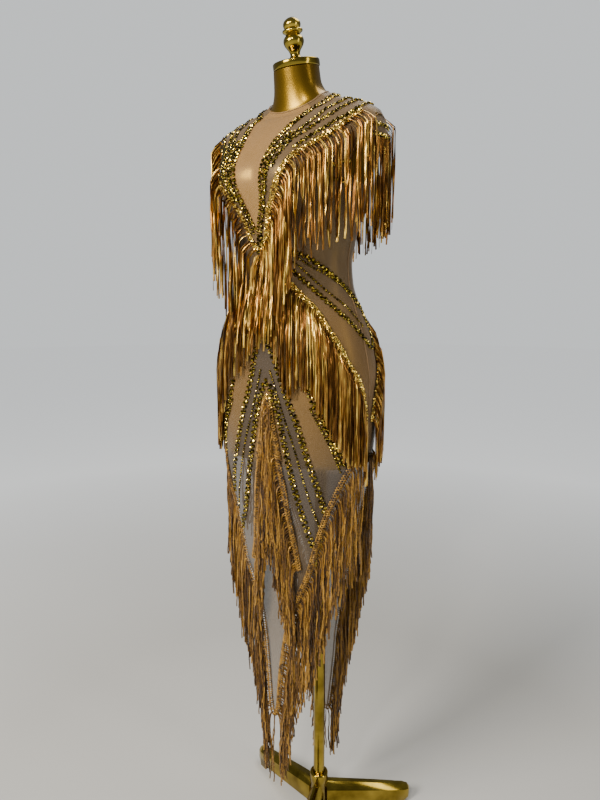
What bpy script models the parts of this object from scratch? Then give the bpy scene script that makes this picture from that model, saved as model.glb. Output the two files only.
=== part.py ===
"""A fringed mesh dress on a limbless dress form with a tripod stand.

The front of the dress faces -Y and the wearer's left is +X. Angles are in
degrees round the body: 0 is the middle of the front, 90 the wearer's left
side, 180 the middle of the back. A level is the height of one ring round the
body, in metres; rings near the neck dip towards the front.
"""
import math
from functools import lru_cache

import bmesh
import bpy
from mathutils import Vector

# Where the body's upright axis stands, so that the origin is the middle of the box
BODY_X = 0.0072
BODY_Y = -0.0410

# Body, cloth and trim sizes
COLUMN_STEP = 10.0
FORM_BOTTOM = 0.877
NECK_TOP = 1.590
NECK_TILT = 12.0
CLOTH_THICKNESS = 0.0012
CLOTH_STANDOFF = 0.0006
SKIRT_EASE = 0.0014
EASE_HEIGHT = 0.040
SEAM_GAP = 0.0003
TRIM_LIFT = 0.0008
TRIM_CLEARANCE = 0.0004
BAND_CORNERS = ((1, 0), (0.6, 0.0036), (-0.6, 0.0036), (-1, 0))
BAND_WANDER = 0.0012
MAIN_BAND = 0.013
LEAF_BAND = 0.011
YOKE_BAND = 0.010
BAND_POINT_SHARE = 0.35
BAND_POINT_LENGTH = 0.050
LINE_STEP = 0.002
LONGEST_CHORD = 0.030

# Fringe strips and strands; the spacings run along each head
STRIP_WIDTH = 0.0055
STRIP_CORNERS = ((1, 0), (1, 0.002), (-1, 0))
STRIP_WANDER = 0.0022
STRAND_WIDTH = 0.0034
STRAND_DEPTH = 0.0024
STRAND_TIP_SHARE = 0.55
STRAND_SLOT_SHARE = 1.45
STRAND_STEP = 0.010
STRAND_BEND = 0.0028
STRAND_START_LOW = 0.004
STRAND_START_OUT = 0.0005
STRAND_SETTLES_IN = 0.020
STRAND_LENGTH_VARIES = 0.07
YOKE_SPACING = 0.019
BACK_YOKE_SPACING = 0.026
HIP_SPACING = 0.023
BACK_HIP_SPACING = 0.029
HEM_SPACING = 0.030
BACK_HEM_SPACING = 0.036
APEX_SPACING = 0.034
SLEEVE_SPACING = 0.0095

# Rings round the body: height, half width, depth in front of the axis, depth
# behind it, roundness power, and how much lower the front is than the sides
SECTION_COLUMNS = ("level", "half_width", "front", "back", "power", "dip")
SECTIONS = [
    (0.200, 0.082, 0.070, 0.105, 2.10, 0.000),
    (0.300, 0.088, 0.072, 0.106, 2.10, 0.000),
    (0.530, 0.101, 0.078, 0.107, 2.10, 0.000),
    (0.700, 0.127, 0.086, 0.110, 2.15, 0.000),
    (0.780, 0.141, 0.091, 0.112, 2.15, 0.000),
    (0.877, 0.156, 0.098, 0.116, 2.20, 0.000),
    (0.960, 0.163, 0.100, 0.122, 2.20, 0.000),
    (1.030, 0.164, 0.101, 0.124, 2.20, 0.000),
    (1.100, 0.153, 0.099, 0.112, 2.15, 0.000),
    (1.160, 0.133, 0.092, 0.090, 2.10, 0.000),
    (1.210, 0.118, 0.086, 0.074, 2.05, 0.000),
    (1.245, 0.115, 0.085, 0.072, 2.05, 0.000),
    (1.290, 0.122, 0.089, 0.080, 2.05, 0.000),
    (1.350, 0.136, 0.095, 0.094, 2.10, 0.000),
    (1.400, 0.146, 0.095, 0.102, 2.10, 0.000),
    (1.435, 0.165, 0.087, 0.102, 2.10, 0.000),
    (1.465, 0.178, 0.073, 0.096, 2.10, 0.004),
    (1.490, 0.172, 0.056, 0.088, 2.00, 0.008),
    (1.507, 0.145, 0.045, 0.080, 1.90, 0.014),
    (1.520, 0.105, 0.036, 0.072, 1.85, 0.020),
    (1.530, 0.070, 0.030, 0.066, 1.90, 0.026),
    (1.540, 0.052, 0.027, 0.060, 2.00, 0.026),
    (1.560, 0.044, 0.030, 0.052, 2.00, 0.018),
    (1.590, 0.0415, 0.0375, 0.0455, 2.00, 0.0088),
]

# Bust cups: the swell's height, its distance from the middle and its spread
BUST_SWELL = 0.036
BUST_LEVEL = 1.385
BUST_ASIDE = 0.072
BUST_SPREAD = 0.046
BUST_ABOVE = 0.060
BUST_BELOW = 0.048
BUST_MIDDLE_DIP = 0.35

# Levels that the facets of the form and of the cloth share, from the hips up
SHARED_LEVELS = (
    0.950, 0.995, 1.040, 1.085, 1.125, 1.165, 1.205, 1.245, 1.285, 1.320,
    1.350, 1.380, 1.405, 1.430, 1.452, 1.469, 1.482, 1.494, 1.507, 1.518,
    1.527, 1.536,
)
NECK_LEVELS = (1.548, 1.562, 1.576, NECK_TOP)
FORM_LOWER_LEVELS = (FORM_BOTTOM, 0.912)
SKIRT_ROWS = 7

# Armhole: the columns and levels left open round each shoulder point
ARMHOLE_FROM = 70.0
ARMHOLE_LOW = 1.380
ARMHOLE_HIGH = 1.482

# Cap sleeve: its angles, its rows down from the armhole and how far it flares
SLEEVE_ANGLES = (70.5, 80.0, 90.0, 100.0, 109.5)
SLEEVE_TOP = 1.4812
SLEEVE_DROP = 0.032
SLEEVE_FLARE = 0.0075
SLEEVE_ROWS = 3

# How far the middle of the trim has slipped round the body: level, degrees
TURN = [
    (0.20, 2.0),
    (0.34, 2.0),
    (0.45, 3.5),
    (0.55, 6.0),
    (0.65, 7.0),
    (0.80, 5.0),
    (1.03, 3.0),
    (1.11, 0.0),
    (1.20, -6.5),
    (1.31, -6.5),
    (1.37, -3.2),
    (1.55, -3.2),
]

# Hem height by angle from the middle of the front and of the back
HEM_FRONT = [
    (0.0, 0.336), (4.0, 0.345), (6.5, 0.380), (9.5, 0.450), (13.5, 0.520), (21.0, 0.585),
    (28.0, 0.625), (35.0, 0.665), (40.0, 0.712), (48.0, 0.775), (57.0, 0.825),
    (66.0, 0.862), (78.0, 0.892), (90.0, 0.905),
]
HEM_BACK = [
    (0.0, 0.236), (4.0, 0.245), (7.0, 0.290), (11.0, 0.370), (15.0, 0.440), (20.0, 0.510),
    (25.0, 0.575), (32.0, 0.640), (40.0, 0.710), (48.0, 0.770), (57.0, 0.822),
    (66.0, 0.862), (78.0, 0.892), (90.0, 0.905),
]
HEM_STRIP_INSET = 0.006

# Bead bands on the wearer's left, as angle and level; the right side mirrors them
PLUNGE_LINE = [
    (178.0, 1.5270), (150.0, 1.5270), (120.0, 1.5270), (95.0, 1.5270), (72.0, 1.5270),
    (50.0, 1.5250), (36.0, 1.5190), (26.5, 1.5070), (20.0, 1.4940), (15.5, 1.4740),
    (13.4, 1.4520), (13.0, 1.4300), (13.0, 1.4080), (12.4, 1.3880), (11.0, 1.3660),
    (8.8, 1.3450), (6.4, 1.3270),
]
CENTRE_LINE = [(2.5, 1.2950), (0.0, 1.2700), (0.0, 1.2350), (0.0, 1.2000)]
YOKE_LINE = [
    (19.0, 1.4280), (28.0, 1.4560), (37.0, 1.4830), (52.0, 1.5030), (72.0, 1.5110),
    (92.0, 1.5130), (118.0, 1.5110),
]
LEAF_LINE = [
    (29.0, 1.2670), (45.0, 1.2530), (63.0, 1.2300), (80.0, 1.2060), (95.0, 1.1820),
    (109.0, 1.1520), (113.0, 1.1220), (107.0, 1.0980), (99.0, 1.0960), (90.0, 1.1130),
    (78.0, 1.1400), (64.0, 1.1670), (54.0, 1.1880), (42.0, 1.2120), (30.0, 1.2330),
]
SKIRT_OUTER = [
    (0.0, 1.1180), (6.2, 1.0830), (9.2, 1.0500), (13.2, 1.0130), (20.0, 0.9650),
    (27.5, 0.9080), (34.0, 0.8660), (40.5, 0.8300), (45.0, 0.8050),
]
SKIRT_INNER = [
    (0.0, 1.0330), (5.2, 0.9980), (7.4, 0.9700), (9.8, 0.9400), (12.9, 0.9000),
    (17.0, 0.8550), (22.0, 0.8130), (28.8, 0.7680), (34.5, 0.7380),
]
THIGH_LINE = [(28.5, 1.0310), (34.5, 0.9950), (43.0, 0.9570), (52.3, 0.9200), (62.5, 0.8820)]

# Fringe heads on the wearer's left, or from side to side, as angle and level
YOKE_HEAD = [
    (9.0, 1.2900), (10.8, 1.3100), (14.5, 1.3350), (20.0, 1.3570), (27.0, 1.3840), (33.5, 1.4130),
    (44.0, 1.4500), (55.5, 1.4760), (66.0, 1.4900),
]
BACK_YOKE_HEAD = [(0.0, 1.4300), (25.0, 1.4400), (45.0, 1.4650), (64.0, 1.4880)]
HIP_HEAD = [
    (0.0, 1.1800), (10.0, 1.1920), (22.0, 1.2060), (30.0, 1.2060), (36.0, 1.1930), (42.5, 1.1760),
    (48.8, 1.1560), (54.5, 1.1220), (59.8, 1.0980), (64.5, 1.0740), (71.0, 1.0500),
    (78.0, 1.0260), (83.0, 0.9950), (85.5, 0.9600),
]
BACK_HIP_HEAD = [
    (0.0, 1.1800), (12.0, 1.1900), (24.0, 1.1940), (41.0, 1.1780), (54.0, 1.1460),
    (62.0, 1.1150), (69.0, 1.0700), (77.0, 1.0300), (82.0, 0.9950), (85.0, 0.9600),
]
APEX_HEAD = [
    (0.0, 0.9600), (2.0, 0.9540), (3.2, 0.9350), (5.6, 0.9000), (8.4, 0.8600), (11.0, 0.8250),
    (14.0, 0.7760), (18.5, 0.7230), (24.0, 0.6730),
]

# Fringe length by the height that it hangs from, and for the hips by its
# direction from the body's axis: 0 is the middle of the front, 180 of the back
HEM_LENGTHS = [(0.20, 0.110), (0.336, 0.165), (0.60, 0.225), (0.90, 0.225)]
YOKE_LENGTHS = [(1.28, 0.200), (1.36, 0.215), (1.42, 0.170), (1.50, 0.205)]
HIP_LENGTHS = [
    (0.0, 0.085), (8.0, 0.095), (13.0, 0.115), (20.0, 0.150), (30.0, 0.180), (42.0, 0.195),
    (57.0, 0.220), (66.0, 0.225), (74.0, 0.195), (80.0, 0.155), (87.0, 0.120), (95.0, 0.120),
    (103.0, 0.165), (115.0, 0.210), (180.0, 0.200),
]
APEX_LENGTHS = [(0.60, 0.200), (1.00, 0.225)]
SLEEVE_LENGTHS = [(1.40, 0.155), (1.50, 0.155)]

# How far each fringe hangs outside the body, so that the upper tiers clear the lower
HEM_LAYER = 0.0068
APEX_LAYER = 0.0108
HIP_LAYER = 0.0146
YOKE_LAYER = 0.0186
SLEEVE_LAYER = 0.0175

# Stand: pole, turned hub and three cast legs
POLE_PLACE = (0.017, 0.063, 0)
POLE_RADIUS = 0.0125
POLE_FOOT = 0.0525
STAND_TURN = 18.0
STAND_SEGMENTS = 20
FINIAL_SEGMENTS = 14
LEG_COUNT = 3
HUB_PROFILE = [
    (0.0000, 0.0260), (0.0175, 0.0260), (0.0195, 0.0290), (0.0195, 0.0900),
    (0.0205, 0.0920), (0.0205, 0.1110), (0.0190, 0.1130), (0.0130, 0.1130),
    (0.0130, 0.0520), (0.0000, 0.0520),
]
# Leg cross-sections: reach from the hub's axis, half widths at the top and at
# the sides, and the heights of the underside, the side edge and the top
LEG_COLUMNS = ("reach", "top_half", "side_half", "under", "edge", "top")
LEG_SECTIONS = [
    (0.008, 0.0060, 0.0160, 0.032, 0.071, 0.088),
    (0.060, 0.0060, 0.0160, 0.026, 0.063, 0.079),
    (0.130, 0.0055, 0.0150, 0.016, 0.050, 0.063),
    (0.182, 0.0050, 0.0140, 0.010, 0.041, 0.051),
    (0.184, 0.0050, 0.0140, 0.000, 0.040, 0.050),
    (0.204, 0.0048, 0.0130, 0.000, 0.037, 0.046),
    (0.206, 0.0046, 0.0125, 0.010, 0.036, 0.045),
    (0.216, 0.0035, 0.0090, 0.013, 0.034, 0.041),
    (0.220, 0.0015, 0.0045, 0.017, 0.030, 0.036),
]
CAP_LIFT = 0.0011
CAP_PROFILE = [
    (0.0000, 0.0000), (0.0405, 0.0000), (0.0422, 0.0015), (0.0426, 0.0105),
    (0.0412, 0.0120), (0.0000, 0.0120),
]
FINIAL_PROFILE = [
    (0.0000, 0.0000), (0.0135, 0.0000), (0.0135, 0.0028), (0.0110, 0.0060),
    (0.0088, 0.0100), (0.0100, 0.0160), (0.0160, 0.0240), (0.0186, 0.0320),
    (0.0170, 0.0375), (0.0130, 0.0425), (0.0180, 0.0470), (0.0182, 0.0495),
    (0.0140, 0.0520), (0.0157, 0.0575), (0.0135, 0.0635), (0.0080, 0.0685),
    (0.0000, 0.0705),
]
NECK_CENTRE_Y = 0.004

MATERIALS = {
    "gold_form": ((0.42, 0.27, 0.09), 0.75, 0.42),
    "gold_metal": ((0.72, 0.52, 0.20), 1.0, 0.22),
    "nude_mesh": ((0.55, 0.38, 0.26), 0.0, 0.75),
    "foil_fringe": ((0.50, 0.25, 0.08), 0.6, 0.38),
    "gold_stones": ((0.42, 0.30, 0.10), 0.7, 0.25),
}


def read_table(rows, key):
    """The other columns of a table at a value of its first, on smooth monotone curves."""
    keys = [row[0] for row in rows]
    key = min(max(key, keys[0]), keys[-1])
    i = 0
    while i < len(rows) - 2 and keys[i + 1] <= key:
        i += 1

    def slopes(k):
        if k == 0 or k == len(rows) - 1:
            a, b = (rows[0], rows[1]) if k == 0 else (rows[-2], rows[-1])
            return [(q - p) / (b[0] - a[0]) for p, q in zip(a[1:], b[1:])]
        result = []
        for p, q, r in zip(rows[k - 1][1:], rows[k][1:], rows[k + 1][1:]):
            left = (q - p) / (keys[k] - keys[k - 1])
            right = (r - q) / (keys[k + 1] - keys[k])
            result.append(2 * left * right / (left + right) if left * right > 0 else 0.0)
        return result

    span = keys[i + 1] - keys[i]
    t = (key - keys[i]) / span
    columns = zip(rows[i][1:], rows[i + 1][1:], slopes(i), slopes(i + 1))
    return [
        (2 * t**3 - 3 * t**2 + 1) * p
        + (t**3 - 2 * t**2 + t) * span * m
        + (3 * t**2 - 2 * t**3) * q
        + (t**3 - t**2) * span * n
        for p, q, m, n in columns
    ]


@lru_cache(maxsize=None)
def section(level):
    """The ring's sizes at a level."""
    return tuple(read_table(SECTIONS, level))


def bust(x, z, cosine):
    """How far the bust cups stand out in front, bridged flat between them."""
    aside = abs(x)
    if aside < BUST_ASIDE:
        across = 1 - BUST_MIDDLE_DIP * (1 - aside / BUST_ASIDE) ** 2
    else:
        across = math.exp(-(((aside - BUST_ASIDE) / BUST_SPREAD) ** 2))
    spread = BUST_ABOVE if z > BUST_LEVEL else BUST_BELOW
    return BUST_SWELL * across * math.exp(-(((z - BUST_LEVEL) / spread) ** 2)) * min(1, 3 * cosine)


@lru_cache(maxsize=None)
def skin(angle, level):
    """A point of the body's smooth surface."""
    half_width, front, back, power, dip = section(level)
    sine = math.sin(math.radians(angle))
    cosine = math.cos(math.radians(angle))
    x = half_width * math.copysign(abs(sine) ** (2 / power), sine)
    depth = front if cosine > 0 else back
    y = -depth * math.copysign(abs(cosine) ** (2 / power), cosine)
    z = level - dip * cosine
    if cosine > 0:
        y -= bust(x, z, cosine)
    return Vector((x, y, z))


@lru_cache(maxsize=None)
def outward(angle, level):
    """The direction square to the body's surface, away from it."""
    around = skin(angle + 0.5, level) - skin(angle - 0.5, level)
    upward = skin(angle, level + 0.001) - skin(angle, level - 0.001)
    return around.cross(upward).normalized()


def off_skin(angle, level, out):
    """A point this far out from the body's surface."""
    return skin(angle, level) + outward(angle, level) * out


def turned(angle, level):
    """The angle of a trim point, with the slip of the dress round the body."""
    slip = read_table(TURN, level)[0]
    return angle + slip * math.cos(math.radians(angle))


def hem_level(angle):
    """The hem's height at an angle, with the same slip as the trim."""
    folded = (angle + 180) % 360 - 180
    rows = HEM_FRONT if abs(folded) <= 90 else HEM_BACK
    side = folded if abs(folded) <= 90 else math.copysign(180, folded) - folded
    own = side
    for _ in range(6):
        level = read_table(rows, abs(own))[0]
        own = side - read_table(TURN, level)[0] * math.cos(math.radians(side))
    return read_table(rows, abs(own))[0]


def cloth_inside(level):
    """How far the cloth's inner face stands off the body, with more ease below the hips."""
    return CLOTH_STANDOFF + SKIRT_EASE * min(1, max(0, (SHARED_LEVELS[0] - level) / EASE_HEIGHT))


@lru_cache(maxsize=None)
def row_level(angle, row):
    """The level of one row of cloth corners: even steps up to the hips, then shared ones."""
    if row >= SKIRT_ROWS:
        return SHARED_LEVELS[row - SKIRT_ROWS]
    hem = hem_level(angle)
    return hem + (SHARED_LEVELS[0] - hem) * row / SKIRT_ROWS


@lru_cache(maxsize=None)
def corner(angle, row):
    """A corner of the cloth's outer facets."""
    level = row_level(angle, row)
    return off_skin(angle, level, cloth_inside(level) + CLOTH_THICKNESS)


def on_cloth(angle, level, out):
    """A point this far outside the facets of the cloth's outer face."""
    folded = (angle + 180) % 360 - 180
    near_middle = 0.0 if abs(folded) <= 90 else math.copysign(180, folded)
    steps = (folded - near_middle) / COLUMN_STEP
    whole = math.floor(abs(steps))
    share = abs(steps) - whole
    way = math.copysign(COLUMN_STEP, steps)
    inner = near_middle + way * whole
    outer = inner + way

    row = 0
    while row < SKIRT_ROWS + len(SHARED_LEVELS) - 2:
        above = row_level(inner, row + 1) * (1 - share) + row_level(outer, row + 1) * share
        if above > level:
            break
        row += 1
    low_inner = row_level(inner, row)
    low_outer = row_level(outer, row)
    high_inner = row_level(inner, row + 1)
    high_outer = row_level(outer, row + 1)
    start = corner(inner, row)
    end = corner(outer, row + 1)
    if level < low_inner + (high_outer - low_inner) * share:
        rise = (level - low_inner - (low_outer - low_inner) * share) / (high_outer - low_outer)
        mid = corner(outer, row)
        point = start + (mid - start) * share + (end - mid) * rise
    else:
        rise = (level - low_inner - (high_outer - high_inner) * share) / (high_inner - low_inner)
        mid = corner(inner, row + 1)
        point = start + (mid - start) * rise + (end - mid) * share
    return point + outward(round(angle, 3), round(level, 5)) * out


def add_object(name, mesh, material, turn=(0, 0, 0), place=(0, 0, 0)):
    """An object with this mesh and material, its place given from the body's axis."""
    thing = bpy.data.objects.new(name, mesh)
    bpy.context.scene.collection.objects.link(thing)
    thing.data.materials.append(material)
    thing.rotation_euler = turn
    thing.location = (place[0] + BODY_X, place[1] + BODY_Y, place[2])
    return thing


def mesh_from(name, points, faces, smooth=False):
    """A mesh with its faces turned outwards."""
    mesh = bpy.data.meshes.new(name)
    mesh.from_pydata(points, [], faces)
    work = bmesh.new()
    work.from_mesh(mesh)
    bmesh.ops.recalc_face_normals(work, faces=work.faces)
    work.to_mesh(mesh)
    work.free()
    if smooth:
        mesh.shade_smooth()
        mesh.set_sharp_from_angle(angle=math.radians(35))
    return mesh


def make_material(name):
    """A plain Principled material from the table."""
    colour, metallic, roughness = MATERIALS[name]
    material = bpy.data.materials.new(name)
    material.use_nodes = True
    shader = material.node_tree.nodes["Principled BSDF"]
    shader.inputs["Base Color"].default_value = (*colour, 1)
    shader.inputs["Metallic"].default_value = metallic
    shader.inputs["Roughness"].default_value = roughness
    return material


def grid_triangles(columns, rows, middle_first):
    """Two triangles for each cell of a grid, split from the cell's corner next to the middle.

    middle_first says, for each column gap, whether its left side is nearer the middle.
    """
    triangles = []
    for row in range(rows - 1):
        for column in range(columns - 1):
            a = row * columns + column
            b = a + 1
            c = a + columns + 1
            d = a + columns
            if middle_first[column]:
                triangles.append(((a, b, c), row, column))
                triangles.append(((a, c, d), row, column))
            else:
                triangles.append(((b, c, d), row, column))
                triangles.append(((b, d, a), row, column))
    return triangles


def thick_sheet(name, outer, inner, triangles):
    """A closed wall between two point grids, over the triangles that are kept."""
    count = len(outer)
    faces = [triangle for triangle in triangles]
    faces += [tuple(count + i for i in reversed(triangle)) for triangle in triangles]
    edges = {(t[i], t[(i + 1) % 3]) for t in triangles for i in range(3)}
    for a, b in edges:
        if (b, a) not in edges:
            faces.append((b, a, count + a, count + b))
    used = sorted({i for face in faces for i in face})
    place = {old: new for new, old in enumerate(used)}
    points = list(outer) + list(inner)
    return mesh_from(
        name,
        [points[i] for i in used],
        [tuple(place[i] for i in face) for face in sorted(faces)],
        smooth=True,
    )


def build_form(material):
    """The torso and neck: rings of the body's surface between two flat ends."""
    levels = FORM_LOWER_LEVELS + SHARED_LEVELS + NECK_LEVELS
    angles = [COLUMN_STEP * i for i in range(int(360 / COLUMN_STEP))]
    columns = len(angles)
    points = [skin(angle if angle <= 180 else angle - 360, level) for level in levels for angle in angles]
    faces = []
    for row in range(len(levels) - 1):
        for column in range(columns):
            a = row * columns + column
            b = row * columns + (column + 1) % columns
            c = b + columns
            d = a + columns
            quarter = angles[column] % 180 < 90
            faces += [(a, b, c), (a, c, d)] if quarter else [(b, c, d), (b, d, a)]
    faces.append(tuple(reversed(range(columns))))
    faces.append(tuple(len(points) - columns + i for i in range(columns)))
    add_object("form_torso", mesh_from("form_torso", points, faces, smooth=True), material)


def in_armhole(triangle, angles, levels, columns):
    """Whether a triangle of a panel lies in the armhole, whose corners are cut across."""
    inside = 0
    for i in triangle:
        angle = abs((angles[i % columns] + 180) % 360 - 180)
        aside = angle if angle <= 90 else 180 - angle
        level = levels[i // columns]
        if aside >= ARMHOLE_FROM and ARMHOLE_LOW <= level <= ARMHOLE_HIGH:
            inside += 1
    return inside == 3


def build_panel(name, angles, material):
    """One dress panel between two seams: a wall from the hem to the neckline."""
    columns = len(angles)
    rows = SKIRT_ROWS + len(SHARED_LEVELS)
    outer = []
    inner = []
    for row in range(rows):
        for angle in angles:
            level = row_level(angle, row)
            shift = seam_shift(angle, angles)
            outer.append(corner(angle, row) + shift)
            inner.append(off_skin(angle, level, cloth_inside(level)) + shift)
    levels = [0.0] * SKIRT_ROWS + list(SHARED_LEVELS)
    middle_first = [abs(math.sin(math.radians(a))) < abs(math.sin(math.radians(b)))
                    for a, b in zip(angles, angles[1:])]
    kept = [
        triangle
        for triangle, _, _ in grid_triangles(columns, rows, middle_first)
        if not in_armhole(triangle, angles, levels, columns)
    ]
    add_object(name, thick_sheet(name, outer, inner, kept), material)


def seam_shift(angle, angles):
    """Half of the seam's gap, for the points on a panel's edge columns."""
    if angle not in (angles[0], angles[-1]):
        return Vector()
    if abs(angle) == 180:
        middle = angles[len(angles) // 2]
        return Vector((math.copysign(SEAM_GAP / 2, math.sin(math.radians(middle))), 0, 0))
    in_front = 0 in angles
    return Vector((0, -SEAM_GAP / 2 if in_front else SEAM_GAP / 2, 0))


def build_sleeve(name, side, material):
    """A cap sleeve: a short flared wall that hangs from the top of the armhole."""
    outer = []
    inner = []
    columns = len(SLEEVE_ANGLES)
    for row in range(SLEEVE_ROWS + 1):
        for angle in SLEEVE_ANGLES:
            inner.append(sleeve_point(side * angle, row / SLEEVE_ROWS, 0.0))
            outer.append(sleeve_point(side * angle, row / SLEEVE_ROWS, CLOTH_THICKNESS))
    middle_first = [a < 90 for a in SLEEVE_ANGLES[:-1]]
    triangles = [t for t, _, _ in grid_triangles(columns, SLEEVE_ROWS + 1, middle_first)]
    add_object(name, thick_sheet(name, outer, inner, triangles), material)


def sleeve_point(angle, down, out):
    """A point of a cap sleeve: down runs from 0 at its seam to 1 at its rim."""
    level = SLEEVE_TOP - SLEEVE_DROP * down
    return off_skin(angle, level, CLOTH_STANDOFF + SLEEVE_FLARE * down**1.4 + out)


def fine_line(points):
    """Close samples of angle and level on a smooth line through a band's points."""
    samples = []
    for i in range(len(points) - 1):
        p0 = points[max(i - 1, 0)]
        p1 = points[i]
        p2 = points[i + 1]
        p3 = points[min(i + 2, len(points) - 1)]
        length = (skin(*p2) - skin(*p1)).length
        count = max(2, round(length / LINE_STEP))
        for k in range(count):
            t = k / count
            samples.append(tuple(
                0.5 * (2 * b + (c - a) * t + (2 * a - 5 * b + 4 * c - d) * t**2
                       + (3 * b - a - 3 * c + d) * t**3)
                for a, b, c, d in zip(p0, p1, p2, p3)
            ))
    samples.append(points[-1])
    return samples


def ribbon(samples, widths, corners, surface):
    """Section points along a line, for each sample, from its low edge to its high edge.

    Each corner is its share of the half width towards the low edge, and its height.

    The low edge is on the right of the line's way, seen from outside. The whole
    section rises where a ridge of the cloth stands up between its two edges.
    """
    rings = []
    for i, (angle, level) in enumerate(samples):
        before = skin(*samples[max(i - 1, 0)])
        after = skin(*samples[min(i + 1, len(samples) - 1)])
        along = (after - before).normalized()
        away = outward(round(angle, 3), round(level, 5))
        low = along.cross(away).normalized()
        per_degree = skin(angle + 0.5, level) - skin(angle - 0.5, level)
        per_level = (skin(angle, level + 0.001) - skin(angle, level - 0.001)) / 0.002
        aa = per_degree.dot(per_degree)
        al = per_degree.dot(per_level)
        ll = per_level.dot(per_level)
        ra = per_degree.dot(low)
        rl = per_level.dot(low)
        scale = aa * ll - al * al
        d_angle = (ra * ll - rl * al) / scale
        d_level = (rl * aa - ra * al) / scale
        half = widths[i] / 2
        edges = [surface(angle + d_angle * half * side, level + d_level * half * side, 0.0) for side in (1, -1)]
        middle = surface(angle, level, 0.0)
        ridge = max(0.0, (middle - (edges[0] + edges[1]) / 2).dot(away))
        ring = []
        for share, out in corners:
            at_angle = angle + d_angle * half * share
            at_level = level + d_level * half * share
            ring.append(surface(at_angle, at_level, TRIM_LIFT + ridge + out))
        rings.append((ring, low, away, edges + [middle]))
    return rings


def chosen_stations(rings, wander):
    """The samples whose joining chords stay clear of the cloth and near the line."""
    picked = [0]
    while picked[-1] < len(rings) - 1:
        start = picked[-1]
        end = start + 1
        for trial in range(start + 2, len(rings)):
            if strays(rings, start, trial, wander):
                break
            if (rings[trial][0][0] - rings[start][0][0]).length > LONGEST_CHORD:
                break
            end = trial
        picked.append(end)
    return picked


def strays(rings, start, end, wander):
    """Whether the strip from start to end comes too near the cloth or leaves its line."""
    first = rings[start][0]
    last = rings[end][0]
    for k in range(start + 1, end):
        share = (k - start) / (end - start)
        low = first[0] + (last[0] - first[0]) * share
        high = first[-1] + (last[-1] - first[-1]) * share
        ring, _, away, (low_cloth, high_cloth, middle_cloth) = rings[k]
        gaps = (low - low_cloth, high - high_cloth, (low + high) / 2 - middle_cloth)
        if min(gap.dot(away) for gap in gaps) < TRIM_CLEARANCE:
            return True
        if max((low - ring[0]).length, (high - ring[-1]).length) > wander:
            return True
    return False


def closed_strip(rings, strands=()):
    """Points and faces of a closed strip, with strands grown from its low face.

    Each four-sided face is split along its outer diagonal, so it stays off the cloth.
    strands maps the index of a ring to the rings of the strand that starts there.
    """
    sides = len(rings[0][0])
    points = []
    for ring, _, _, _ in rings:
        points += ring
    last = sides * (len(rings) - 1)
    faces = [tuple(reversed(range(sides))), tuple(range(last, last + sides))]
    for i in range(len(rings) - 1):
        for side in range(sides):
            a = sides * i + side
            b = sides * i + (side + 1) % sides
            c = b + sides
            d = a + sides
            if side == 0 and i in strands:
                faces += strand_faces(points, (a, d, c, b), strands[i])
            elif (points[a] + points[c] - points[b] - points[d]).dot(rings[i][2]) > 0:
                faces += [(a, b, c), (a, c, d)]
            else:
                faces += [(b, c, d), (b, d, a)]
    return points, faces


def strand_faces(points, root, strand_rings):
    """Faces of one strand, from the strip's face to its tip; its points are added."""
    faces = []
    loop = root
    for ring in strand_rings:
        first = len(points)
        points += ring
        new = tuple(range(first, first + 4))
        faces += [(loop[i], loop[(i + 1) % 4], new[(i + 1) % 4], new[i]) for i in range(4)]
        loop = new
    faces.append(loop)
    return faces


def build_band(name, line, width, material, pointed=False):
    """A raised band of stones along a line on the cloth, narrow at its middle if pointed."""
    samples = fine_line([(turned(*point), point[1]) for point in line])
    widths = [width] * len(samples)
    if pointed:
        tip = skin(*samples[len(samples) // 2])
        shares = [BAND_POINT_SHARE + (skin(*sample) - tip).length / BAND_POINT_LENGTH for sample in samples]
        widths = [width * min(1, share) for share in shares]
    rings = ribbon(samples, widths, BAND_CORNERS, on_cloth)
    picked = chosen_stations(rings, BAND_WANDER)
    points, faces = closed_strip([rings[i] for i in picked])
    add_object(name, mesh_from(name, points, faces), material)


def radius_at(bearing, height):
    """The body's angle and radius in a direction from its axis, at a height."""
    low = 0.0
    high = 180.0
    for _ in range(16):
        middle = (low + high) / 2
        point = skin(middle, height)
        if math.degrees(math.atan2(point.x, -point.y)) < bearing:
            low = middle
        else:
            high = middle
    point = skin(middle, height)
    return middle, math.hypot(point.x, point.y)


def hanging(start, length, layer):
    """Where a strand hangs: over the body where it stands out, straight down elsewhere."""
    bearing = math.degrees(math.atan2(start.x, -start.y))
    side = math.copysign(1, bearing)
    reach = math.hypot(start.x, start.y)
    path = [(reach, start.z)]
    for k in range(1, round(length / STRAND_STEP) + 1):
        fallen = k * STRAND_STEP
        height = start.z - fallen
        angle, radius = radius_at(abs(bearing), max(height, SECTIONS[0][0]))
        away = outward(round(angle, 1), round(max(height, SECTIONS[0][0] + 0.002), 3))
        slope = max(0.5, math.hypot(away.x, away.y))
        wanted = layer * min(1, (1 + fallen / STRAND_SETTLES_IN) / 2)
        reach = max(reach, radius + wanted / slope)
        path.append((reach, height))
    picked = [0]
    while picked[-1] < len(path) - 1:
        begin = picked[-1]
        end = begin + 1
        for trial in range(begin + 2, len(path)):
            bend = max(abs(path[k][0] - path[begin][0] - (path[trial][0] - path[begin][0])
                           * (k - begin) / (trial - begin)) for k in range(begin + 1, trial))
            if bend > STRAND_BEND:
                break
            end = trial
        picked.append(end)
    across = math.radians(abs(bearing) * side)
    outwards = Vector((math.sin(across), -math.cos(across), 0))
    around = Vector((math.cos(across), math.sin(across), 0))
    return [(outwards * path[i][0] + Vector((0, 0, path[i][1])), outwards, around) for i in picked]


def height_of(root):
    """How high a strand's root is."""
    return root.z


def direction_of(root):
    """How far round from the middle of the front a strand's root is, in degrees."""
    return abs(math.degrees(math.atan2(root.x, -root.y)))


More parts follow.
